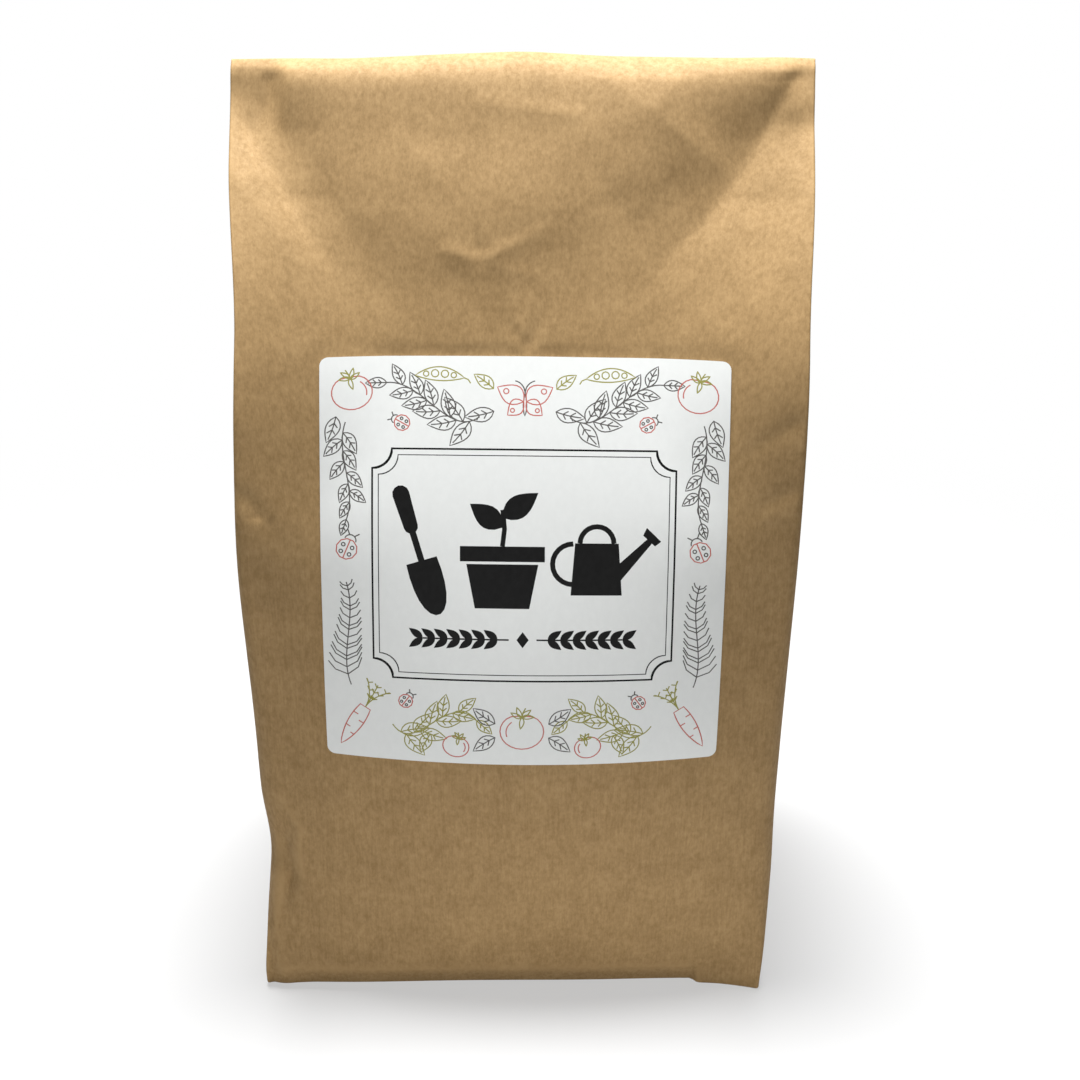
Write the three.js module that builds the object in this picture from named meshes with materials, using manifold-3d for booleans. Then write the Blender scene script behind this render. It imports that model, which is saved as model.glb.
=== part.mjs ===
// Flat-bottomed kraft paper bag, filled and closed by folding its top over to the back, with a paper
// label on its front. Millimetres, +Z up. The front faces -Y and the origin is the middle of the base.

import * as THREE from 'three';
import { mergeVertices } from 'three/addons/utils/BufferGeometryUtils.js';
import Module from 'manifold-3d';

// Bag: overall sizes
const bodyWidth = 200; // across the filled body
const lipWidth = 210; // across the pressed fold along the top
const gussetWidth = 135; // depth of the bag between its front and back creases
const standingHeight = 355; // floor to the middle of the top fold
const topCornerDrop = 2.5; // how far the ends of the top fold lie below its middle

// Bag: body pressed out by the fill
const bellyHeight = 108; // floor to the fullest part
const frontBulge = 15;
const backBulge = 13;
const gussetBulge = 5;
const baseHollow = 1.5; // how far the base's long edges draw in at their middles
const bodyCornerRadius = 9; // the upright creases are pressed round over the body
const cornerGrowHeight = 50; // floor to where they are fully round

// Bag: head above the fill, where the panels draw together to the top fold
const shoulderDrop = 91; // top fold down to the shoulder that the fill makes at each crease
const shoulderRound = 60; // half the height over which the shoulder turns
const shoulderFall = 0.34; // slope of the shoulders down towards the middle
const tuckShare = 0.65; // they fall no steeper than this share of the gusset folds tucked in behind them
const shoulderSag = 23.5; // how far the middle lies behind the creases at the shoulder
const wingHeight = 12; // the shoulders run out this far below the top fold, into the flatter ends of the head
const wingLean = 0.39; // slope of those ends
const lipBulk = 5.5; // how much the head thickens where it curves over into the top fold
const lipCurve = 2; // distance below the fold over which it does so
const headCrown = 6; // how far the middle of the head stands out from its flat ends
const crownFade = 1.3; // raises the fullest part of that crown
const ridgeSoftness = 4; // depth over which the shoulders run into the middle of the head
const headSoftness = 24; // depth over which the body runs into the head
const wingSoftness = 4; // depth over which the shoulders run into the flat ends

// Bag: folds
const foldRadius = 3; // outside of the fold along the top
const creasePly = 1; // pressed edge of a crease in the head
const tuckRoof = 4; // closed strip between each gusset tuck and the top fold
const flapLength = 52; // the top turned over on to the back panel
const flapThickness = 1.2;
const flapStep = 0.6; // height over which the flap's cut edge rises from the back panel
const baseEdgeRadius = 1.5;
const baseOverlap = 15; // the outer base flap reaches this far past the middle
const basePly = 0.3; // step from one base flap to the next

// Bag: dent in the lower left crease
const dentDepth = 3;
const dentHeight = 62; // floor to the dent
const dentSpan = 28;

// Label
const labelWidth = 145;
const labelLength = 150;
const labelHeight = 110.5; // floor to its lower edge
const labelShift = 1.8; // to the right of the bag's middle
const labelCornerRadius = 4;
const labelThickness = 0.4;
const labelGap = 0.5; // from the paper of the bag

// Facets
const panelSegments = 18;
const gussetSegments = 8; // even, so that a vertex lies on the middle crease
const bodyRows = 52;
const edgeRows = 3;
const foldRows = 3;
const labelColumns = 14;
const labelRows = 14;
const cornerRows = 4;
const closestRows = 2; // no two plain rows lie closer than this to a row on a fold
const foldCapAngle = Math.PI / 3; // the fold's arc ends here in a narrow flat top
const lengthStep = 0.5; // step for measuring along the front
const normalStep = 0.5; // half the distance between the points that give the front's slope

const { clamp, lerp, smoothstep } = THREE.MathUtils;

// Heights and slopes that follow from the sizes
const halfGusset = gussetWidth / 2;
const lipHeight = standingHeight - foldRadius;
const shoulderHeight = lipHeight - shoulderDrop;
const shoulderSlope = (halfGusset - foldRadius) / (shoulderDrop - wingHeight);
const headSlope = (halfGusset - shoulderSag - foldRadius - lipBulk) / shoulderDrop;
const fillHeight = shoulderHeight - shoulderRound;
const headFootHeight = shoulderHeight + shoulderRound;
const tuckTopHeight = lipHeight - tuckRoof;
const flapEdgeHeight = lipHeight - flapLength * Math.cos(Math.atan(headSlope));

// The larger of two values, rounded off where they cross
function softMax(a, b, softness) {
  const width = Math.max(softness, Number.EPSILON);
  const share = clamp(0.5 + (0.5 * (a - b)) / width, 0, 1);
  return lerp(b, a, share) + width * share * (1 - share);
}

function softMin(a, b, softness) {
  return -softMax(-a, -b, softness);
}

// Zero that turns into a slope of one, over a rounded stretch on both sides of zero
function softRamp(t, round) {
  return Math.abs(t) < round ? (t + round) ** 2 / (4 * round) : Math.max(t, 0);
}

// How far up the head a height lies, from 0 at the fill to 1 at the lip
function headShare(z) {
  return clamp((z - fillHeight) / (lipHeight - fillHeight), 0, 1);
}

// How far the rounded edge of the base draws the walls in
function baseInset(z) {
  const rise = Math.max(baseEdgeRadius - z, 0);
  return baseEdgeRadius - Math.sqrt(baseEdgeRadius ** 2 - rise ** 2);
}

// Half the thickness of the fold along the top
function foldHalfDepth(z) {
  return Math.sqrt(foldRadius ** 2 - Math.max(z - lipHeight, 0) ** 2);
}

// Half the depth at the creases: upright, turning in at the shoulder, then flatter below the fold
function creaseHalfDepth(z) {
  const leaning = halfGusset - shoulderSlope * softRamp(z - shoulderHeight, shoulderRound);
  const wing = foldHalfDepth(z) + wingLean * clamp(lipHeight - z, 0, shoulderDrop);
  const softness = wingSoftness * clamp((lipHeight - z) / wingHeight, 0, 1);
  return softMax(leaning, wing, Math.max(softness, foldRadius));
}

// Half the width on one side, -1 for the left and 1 for the right, with the dent on the left
function sideWidth(side, z) {
  const flare = ((lipWidth - bodyWidth) / 2) * smoothstep(z, shoulderHeight, lipHeight - wingHeight);
  const dent = dentDepth * Math.exp(-(((z - dentHeight) / dentSpan) ** 2));
  return bodyWidth / 2 + flare - baseInset(z) - (side < 0 ? dent : 0);
}

// Swelling of a panel, from 0 at the floor to 1 at the belly and back to 0 at the given height
function swelling(z, endHeight) {
  if (z < bellyHeight) {
    return Math.sin((Math.PI / 2) * (z / bellyHeight));
  }
  const share = clamp((z - bellyHeight) / (endHeight - bellyHeight), 0, 1);
  return Math.cos((Math.PI / 2) * share) ** 2;
}

// Depth of a panel's middle: pressed out over the body, then a straight lean that curves over into the fold
function middleHalfDepth(bulge, z) {
  const hollow = baseHollow * (1 - clamp(z / bellyHeight, 0, 1)) ** 2;
  const body = halfGusset + bulge * swelling(z, headFootHeight) - hollow;
  const below = Math.max(lipHeight - z, 0);
  const head = foldHalfDepth(z) + headSlope * below + lipBulk * (1 - Math.exp(-below / lipCurve));
  return softMin(body, head, headSoftness);
}

function cornerRadius(z) {
  const grown = smoothstep(z, 0, cornerGrowHeight) * (1 - smoothstep(z, bellyHeight, shoulderHeight));
  return Math.min(lerp(creasePly, bodyCornerRadius, grown), creaseHalfDepth(z) / 2);
}

// Depth of a front or back panel at one point: its middle part, or the shoulder where that stands out
function panelDepth(bulge, x, z) {
  const width = sideWidth(Math.sign(x), z);
  const side = Math.abs(x) / width;
  const middle = middleHalfDepth(bulge, z);
  const rise = clamp((z - shoulderHeight) / shoulderDrop, 0, 1);
  const crown = headCrown * Math.sin(Math.PI * rise ** crownFade);
  const edge = softMax(middle - halfGusset, 0, ridgeSoftness) + crown;
  const crease = creaseHalfDepth(z);
  const fall = Math.min(shoulderFall, (tuckShare * crease) / tuckDepth(z));
  const shoulder = crease - fall * (width - Math.abs(x));
  const softness = ridgeSoftness * clamp((lipHeight - z) / shoulderDrop, 0, 1);
  const depth = softMax(middle - edge * side ** 2, shoulder, softness);
  const radius = cornerRadius(z);
  const round = clamp(Math.abs(x) - (width - radius), 0, radius);
  return depth - baseInset(z) - (radius - Math.sqrt(radius ** 2 - round ** 2));
}

function cornerDrop(u, z) {
  return topCornerDrop * u ** 2 * headShare(z) ** 2;
}

function frontPoint(x, z) {
  const u = x / sideWidth(Math.sign(x), z);
  return new THREE.Vector3(x, -panelDepth(frontBulge, x, z), z - cornerDrop(u, z));
}

// Point of the back panel, with the turned-over flap on its upper part
function backPoint(x, z) {
  const u = x / sideWidth(Math.sign(x), z);
  const flapShare = clamp((z - flapEdgeHeight) / flapStep, 0, 1) * (foldHalfDepth(z) / foldRadius);
  const y = panelDepth(backBulge, x, z) + flapThickness * flapShare;
  return new THREE.Vector3(x, y, z - cornerDrop(u, z));
}

// Depth of the gusset's tuck: its halves keep their width while the creases draw together
function tuckDepth(z) {
  const closing = Math.sqrt(Math.max(halfGusset ** 2 - creaseHalfDepth(z) ** 2, 0));
  return closing * clamp((lipHeight - z) / tuckRoof, 0, 1);
}

// Point of a gusset, t from 0 at the front crease to 1 at the back crease
function gussetPoint(side, t, z) {
  const width = sideWidth(side, z);
  const half = creaseHalfDepth(z) - baseInset(z) - cornerRadius(z);
  const towardsMiddle = 1 - Math.abs(2 * t - 1);
  const out = gussetBulge * swelling(z, fillHeight) * 4 * t * (1 - t);
  const x = width + out - tuckDepth(z) * towardsMiddle;
  return new THREE.Vector3(side * x, lerp(-half, half, t), z - cornerDrop(x / width, z));
}

// Closed line around the bag at one height, anticlockwise seen from above
function ringAt(z) {
  const ring = [];
  const panelX = (i) => {
    const u = Math.sin(lerp(-Math.PI / 2, Math.PI / 2, i / panelSegments));
    return u * sideWidth(u, z);
  };
  for (let i = 0; i <= panelSegments; i++) {
    ring.push(frontPoint(panelX(i), z));
  }
  for (let i = 1; i < gussetSegments; i++) {
    ring.push(gussetPoint(1, i / gussetSegments, z));
  }
  for (let i = panelSegments; i >= 0; i--) {
    ring.push(backPoint(panelX(i), z));
  }
  for (let i = gussetSegments - 1; i > 0; i--) {
    ring.push(gussetPoint(-1, i / gussetSegments, z));
  }
  return ring;
}

// Heights of the rings, with rows on the flap's edge, the roof of the tucks and the two rounded edges
function ringHeights() {
  const foldMarks = [flapEdgeHeight, flapEdgeHeight + flapStep, tuckTopHeight];
  const heights = [...foldMarks, lipHeight];
  for (let i = 0; i <= edgeRows; i++) {
    heights.push(baseEdgeRadius * (1 - Math.cos(((Math.PI / 2) * i) / edgeRows)));
  }
  for (let i = 1; i < bodyRows; i++) {
    const z = lerp(baseEdgeRadius, lipHeight, i / bodyRows);
    if (foldMarks.every((mark) => Math.abs(mark - z) > closestRows)) {
      heights.push(z);
    }
  }
  for (let i = 1; i <= foldRows; i++) {
    heights.push(lipHeight + foldRadius * Math.sin((foldCapAngle * i) / foldRows));
  }
  return heights.sort((a, b) => a - b);
}

// Faces that close an end ring: strips from the front to the back panel, and a fan at each gusset
function endFaces(ringStart) {
  const faces = [];
  const front = (i) => ringStart + i;
  const back = (i) => ringStart + 2 * panelSegments + gussetSegments - i;
  const ringSize = 2 * (panelSegments + gussetSegments);
  for (let i = 1; i < panelSegments - 1; i++) {
    faces.push([front(i), front(i + 1), back(i + 1)], [front(i), back(i + 1), back(i)]);
  }
  const last = panelSegments - 1;
  for (let i = front(last + 1); i < back(last); i++) {
    faces.push([front(last), i, i + 1]);
  }
  for (let i = back(1); i < ringStart + ringSize; i++) {
    const next = i + 1 < ringStart + ringSize ? i + 1 : ringStart;
    faces.push([front(1), i, next]);
  }
  return faces;
}

function geometryOf(points, faces) {
  const geometry = new THREE.BufferGeometry();
  geometry.setFromPoints(points);
  geometry.setIndex(faces.flat());
  geometry.computeVertexNormals();
  return geometry;
}

// Skin of the bag from the floor to the top fold
function bagSkin() {
  const rings = ringHeights().map(ringAt);
  const size = rings[0].length;
  const faces = endFaces(0).map(([a, b, c]) => [a, c, b]);
  for (let row = 0; row + 1 < rings.length; row++) {
    for (let i = 0; i < size; i++) {
      const a = row * size + i;
      const b = row * size + ((i + 1) % size);
      faces.push([a, b, b + size], [a, b + size, a + size]);
    }
  }
  faces.push(...endFaces((rings.length - 1) * size));
  return geometryOf(rings.flat(), faces);
}

const wasm = await Module();
wasm.setup();

function solidOf(geometry) {
  const bare = geometry.clone();
  bare.deleteAttribute('normal');
  bare.deleteAttribute('uv');
  const merged = mergeVertices(bare);
  const vertProperties = new Float32Array(merged.attributes.position.array);
  const triVerts = new Uint32Array(merged.index.array);
  return new wasm.Manifold(new wasm.Mesh({ numProp: 3, vertProperties, triVerts }));
}

function geometryFrom(solid) {
  const mesh = solid.getMesh();
  const geometry = new THREE.BufferGeometry();
  geometry.setAttribute('position', new THREE.BufferAttribute(mesh.vertProperties, mesh.numProp));
  geometry.setIndex(new THREE.BufferAttribute(mesh.triVerts, 1));
  geometry.computeVertexNormals();
  return geometry;
}

// Recess in the base, up to the given height, where an inner flap lies behind the outer one
function baseRecess(outline, height) {
  const shape = new THREE.Shape(outline.map(([x, y]) => new THREE.Vector2(x, y)));
  const geometry = new THREE.ExtrudeGeometry(shape, { depth: height + baseEdgeRadius, bevelEnabled: false });
  return solidOf(geometry.translate(0, 0, -baseEdgeRadius));
}

// The base is folded shut: gusset ends first, in 45 degree corners, then the back flap, then the front one
function foldedBase(bag) {
  const corner = bodyWidth / 2;
  const apex = corner - halfGusset;
  const backFlap = [
    [-corner, halfGusset],
    [-apex, 0],
    [-apex, baseOverlap],
    [apex, baseOverlap],
    [apex, 0],
    [corner, halfGusset],
  ];
  const gussetEnd = (side) => [
    [side * corner, -halfGusset],
    [side * corner, halfGusset],
    [side * apex, 0],
  ];
  return bag
    .subtract(baseRecess(backFlap, basePly))
    .subtract(baseRecess(gussetEnd(1), 2 * basePly))
    .subtract(baseRecess(gussetEnd(-1), 2 * basePly));
}

// Height reached by going a length up the middle of the front from a starting height
function heightAlongFront(start, length) {
  let z = start;
  let gone = 0;
  while (gone < length) {
    gone += frontPoint(labelShift, z).distanceTo(frontPoint(labelShift, z + lengthStep));
    z += lengthStep;
  }
  return z - (gone - length);
}

// Point standing off the front panel along its normal
function offFront(x, z, distance) {
  const across = frontPoint(x + normalStep, z).sub(frontPoint(x - normalStep, z));
  const up = frontPoint(x, z + normalStep).sub(frontPoint(x, z - normalStep));
  return frontPoint(x, z).addScaledVector(across.cross(up).normalize(), distance);
}

// Distances up the label from its lower edge, closer together at the round corners
function labelDistances() {
  const ends = Array.from({ length: cornerRows }, (_, i) => {
    return labelCornerRadius * (1 - Math.cos(((Math.PI / 2) * i) / cornerRows));
  });
  const plain = Array.from({ length: labelRows + 1 }, (_, i) => {
    return lerp(labelCornerRadius, labelLength - labelCornerRadius, i / labelRows);
  });
  return [...ends, ...plain, ...ends.map((d) => labelLength - d).reverse()];
}

function labelHalfWidth(distance) {
  const toEnd = Math.min(distance, labelLength - distance);
  const short = Math.max(labelCornerRadius - toEnd, 0);
  const corner = labelCornerRadius - Math.sqrt(labelCornerRadius ** 2 - short ** 2);
  return labelWidth / 2 - corner;
}

// Label lying on the front panel, with round corners
function labelGeometry() {
  const distances = labelDistances();
  const columns = labelColumns + 1;
  const side = distances.length * columns;
  const points = [];
  for (const standOff of [labelGap, labelGap + labelThickness]) {
    for (const distance of distances) {
      const z = heightAlongFront(labelHeight, distance);
      for (let i = 0; i < columns; i++) {
        const x = labelShift + labelHalfWidth(distance) * lerp(-1, 1, i / labelColumns);
        points.push(offFront(x, z, standOff));
      }
    }
  }
  const faces = [];
  for (let row = 0; row + 1 < distances.length; row++) {
    for (let i = 0; i < labelColumns; i++) {
      const a = row * columns + i;
      const c = a + columns;
      faces.push([a, c + 1, a + 1], [a, c, c + 1]);
      faces.push([side + a, side + a + 1, side + c + 1], [side + a, side + c + 1, side + c]);
    }
  }
  for (const [a, b] of rimEdges(distances.length, columns)) {
    faces.push([a, b, side + b], [a, side + b, side + a]);
  }
  return geometryOf(points, faces);
}

// Edges around a grid of points, anticlockwise seen from outside
function rimEdges(rows, columns) {
  const rim = [];
  for (let i = 0; i < columns; i++) {
    rim.push(i);
  }
  for (let row = 1; row < rows; row++) {
    rim.push(row * columns + columns - 1);
  }
  for (let i = columns - 2; i >= 0; i--) {
    rim.push((rows - 1) * columns + i);
  }
  for (let row = rows - 2; row > 0; row--) {
    rim.push(row * columns);
  }
  return rim.map((a, i) => [a, rim[(i + 1) % rim.length]]);
}

const kraftPaper = new THREE.MeshStandardMaterial({ color: '#b18d60', roughness: 0.82, metalness: 0 });
const labelPaper = new THREE.MeshStandardMaterial({ color: '#f2f2ee', roughness: 0.55, metalness: 0 });

const kraftBag = new THREE.Mesh(geometryFrom(foldedBase(solidOf(bagSkin()))), kraftPaper);
kraftBag.name = 'kraft_bag';

const frontLabel = new THREE.Mesh(labelGeometry(), labelPaper);
frontLabel.name = 'front_label';

const compostBag = new THREE.Group();
compostBag.name = 'compost_bag';
compostBag.add(kraftBag, frontLabel);

export default compostBag;
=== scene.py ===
"""Filled kraft paper bag for potting compost: creased paper, a top folded to the back, a printed label."""

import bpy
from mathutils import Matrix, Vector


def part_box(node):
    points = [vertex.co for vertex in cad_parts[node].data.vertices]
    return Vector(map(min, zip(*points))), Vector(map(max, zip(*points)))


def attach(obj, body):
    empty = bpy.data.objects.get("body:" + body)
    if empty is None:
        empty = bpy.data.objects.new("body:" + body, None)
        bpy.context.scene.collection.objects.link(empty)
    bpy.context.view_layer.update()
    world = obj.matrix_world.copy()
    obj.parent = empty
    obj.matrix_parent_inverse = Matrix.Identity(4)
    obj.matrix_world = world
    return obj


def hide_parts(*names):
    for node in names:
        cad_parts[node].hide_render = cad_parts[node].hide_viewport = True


bl_info = {
    "name": "Kraft Compost Bag",
    "version": (1, 0, 0),
    "blender": (4, 5, 0),
    "location": "View3D > Sidebar > Compost Bag",
    "description": "Makes a filled kraft paper bag, its printed label and a plain studio around it",
    "category": "Object",
}

import math
from typing import NamedTuple

import bpy
import numpy as np
from bpy.props import FloatProperty, FloatVectorProperty, PointerProperty
from mathutils import Matrix, Vector, noise
from mathutils.geometry import delaunay_2d_cdt

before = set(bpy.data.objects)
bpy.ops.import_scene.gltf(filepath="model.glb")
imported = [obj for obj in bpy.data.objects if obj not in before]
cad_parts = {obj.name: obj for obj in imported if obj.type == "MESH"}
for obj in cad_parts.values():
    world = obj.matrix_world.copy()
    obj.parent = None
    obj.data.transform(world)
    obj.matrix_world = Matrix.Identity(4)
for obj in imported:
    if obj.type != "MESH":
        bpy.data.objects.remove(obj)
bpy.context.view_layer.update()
BAG_LOW, BAG_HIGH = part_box("kraft_bag")
LABEL_LOW, LABEL_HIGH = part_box("front_label")

BODY = "root"


# Sizes and colours that a user would change


def length(name, description, default):
    return FloatProperty(name=name, description=description, default=default, unit="LENGTH", precision=4)


def share(name, description, default):
    return FloatProperty(name=name, description=description, default=default)


def power(name, description, default):
    return FloatProperty(name=name, description=description, default=default, unit="POWER")


def angle(name, description, default):
    return FloatProperty(name=name, description=description, default=default, unit="ROTATION", precision=5)


def colour(name, description, default):
    return FloatVectorProperty(
        name=name, description=description, default=default, subtype="COLOR", size=3, min=0, max=1
    )


class BagSizes(bpy.types.PropertyGroup):
    """Sizes of the filled bag"""

    standing_height: length("Standing height", "Floor to the middle of the top fold", round(BAG_HIGH.z, 3))
    lip_width: length("Lip width", "Across the pressed fold along the top", BAG_HIGH.x - BAG_LOW.x)
    body_width: length("Body width", "Across the filled body", 0.2)
    gusset_width: length("Gusset width", "Depth between the front and back creases", 0.135)
    belly_height: length("Belly height", "Floor to the fullest part", 0.108)
    front_bulge: length("Front bulge", "How far the fill presses the front out", 0.015)
    back_bulge: length("Back bulge", "How far the fill presses the back out", 0.013)
    gusset_bulge: length("Gusset bulge", "How far the fill presses each side out", 0.005)
    base_hollow: length("Base hollow", "How far the base's long edges draw in at their middles", 0.001)
    corner_radius: length("Corner radius", "Rounding of the upright creases over the body", 0.009)
    shoulder_drop: length("Shoulder drop", "Top fold down to the shoulder that the fill makes", 0.091)
    shoulder_round: length("Shoulder round", "Half the height over which the shoulder turns", 0.06)
    shoulder_sag: length("Shoulder sag", "How far the middle lies behind the shoulders", 0.0235)
    wing_height: length("Wing height", "The shoulders run out this far below the top fold", 0.006)
    head_crown: length("Head crown", "How far the head's middle stands out from its ends", 0.006)
    fold_radius: length("Fold radius", "Outside of the fold along the top", 0.0026)
    flap_length: length("Flap length", "The top turned over on to the back", 0.052)
    flap_thickness: length("Flap thickness", "Plies of paper in the turned-over top", 0.0012)
    crumple: share("Crumple", "Strength of the small random facets in the paper", 1.0)


class LabelSizes(bpy.types.PropertyGroup):
    """Sizes of the label"""

    width: length("Width", "Across the label", 0.145)
    height: length("Height", "Up the label, along the paper", 0.15)
    corner_radius: length("Corner radius", "Round corners", 0.003)
    stand_off: length("Stand-off", "From the bag's paper to the label's face", 0.00042)
    thickness: length("Thickness", "Label paper and its glue", 0.00028)
    line: length("Line", "Thin printed lines", 0.00044)


class Finishes(bpy.types.PropertyGroup):
    """Colours of paper and inks"""

    kraft: colour("Kraft", "Unbleached paper", (0.304, 0.194, 0.084))
    # Kraft shade: the paper's darker fibres and mottling, and also the painted shade in the valleys of
    # creases
    kraft_dark: colour("Kraft shade", "Darker fibres and mottling", (0.225, 0.139, 0.056))
    kraft_light: colour("Kraft worn", "Fibres raised along creases", (0.4, 0.262, 0.12))
    label: colour("Label paper", "White coated paper", (0.742, 0.757, 0.744))
    black: colour("Black ink", "Solid shapes and rules", (0.006, 0.006, 0.006))
    grey: colour("Grey ink", "Thin stems and leaves", (0.085, 0.08, 0.075))
    red: colour("Red ink", "Fruits, roots and wings", (0.46, 0.12, 0.1))
    olive: colour("Olive ink", "Pods and leaf tops", (0.26, 0.25, 0.05))


class Studio(bpy.types.PropertyGroup):
    """Lights and camera"""

    key: power("Key", "Soft light from above", 68.0)
    fill: power("Fill", "Soft light from low in front", 0.56)
    base_fill: power("Base fill", "Low light on the base", 0.05)
    ambient: share("Ambient", "Even light from all around", 0.06)
    camera_distance: length("Camera distance", "Camera to the middle of the bag", 0.562)
    camera_pitch: angle("Camera pitch", "Looking down", math.radians(22))
    camera_roll: angle("Camera roll", "Turn about the line of sight", 0.01147)
    focal_length: share("Focal length", "In millimetres", 45.73)


# Shape of the bag: x across, z up, front towards -y
LEAST_SOFTNESS = 1e-9


def smooth_step(value, low, high):
    t = np.clip((value - low) / (high - low), 0, 1)
    return t * t * (3 - 2 * t)


def soft_max(a, b, softness):
    """The larger of two values, rounded off where they cross."""
    softness = np.maximum(softness, LEAST_SOFTNESS)
    part = np.clip(0.5 + 0.5 * (a - b) / softness, 0, 1)
    return b + (a - b) * part + softness * part * (1 - part)


def soft_min(a, b, softness):
    return -soft_max(-a, -b, softness)


def soft_ramp(t, around):
    """Zero that turns into a slope of one, over a rounded stretch on both sides of zero."""
    return np.where(np.abs(t) < around, (t + around) ** 2 / (4 * around), np.maximum(t, 0))


def bump(value, middle, span):
    return np.exp(-(((value - middle) / span) ** 2))


# Bows of the upright creases: how far out, at what height and over what span
LEFT_BOWS = (
    (-0.0009, (0.268, 0.04)),
    (0.0011, (0.16, 0.045)),
    (-0.0022, (0.06, 0.018)),
    (0.001, (0.0, 0.018)),
)
RIGHT_BOWS = (
    (-0.0012, (0.34, 0.03)),
    (0.0009, (0.16, 0.12)),
    (0.0009, (0.05, 0.022)),
    (-0.0016, (0.0, 0.018)),
)

# Line of the top fold: places from -1 at the left end to 1 at the right, and how far it drops there
LIP_LINE = (
    (-1.0, 0.0034),
    (-0.8, 0.0028),
    (-0.6, 0.0027),
    (-0.42, 0.0017),
    (-0.25, 0.0008),
    (0.0, -0.0004),
    (0.28, 0.001),
    (0.7, 0.0011),
    (0.92, 0.0005),
    (1.0, 0.001),
)
LIP_BLEND = (-0.06, -0.03, 0.0, 0.03, 0.06)
LIP_SWAY = 0.0012
LIP_WAVES = 34.0
LIP_PHASE = 0.7

# Pressed ends of the top fold: the side, the stretch across and the height below the fold
PINCHES = ((-1, (0.78, 0.87), 0.034), (1, (0.88, 0.97), 0.018))
PINCH = 0.55

FLAP_STEP = 0.0004
SHEET_GAP = 0.0004
SHEET_GAP_RUN = 0.006
TINY = 1e-6


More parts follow.
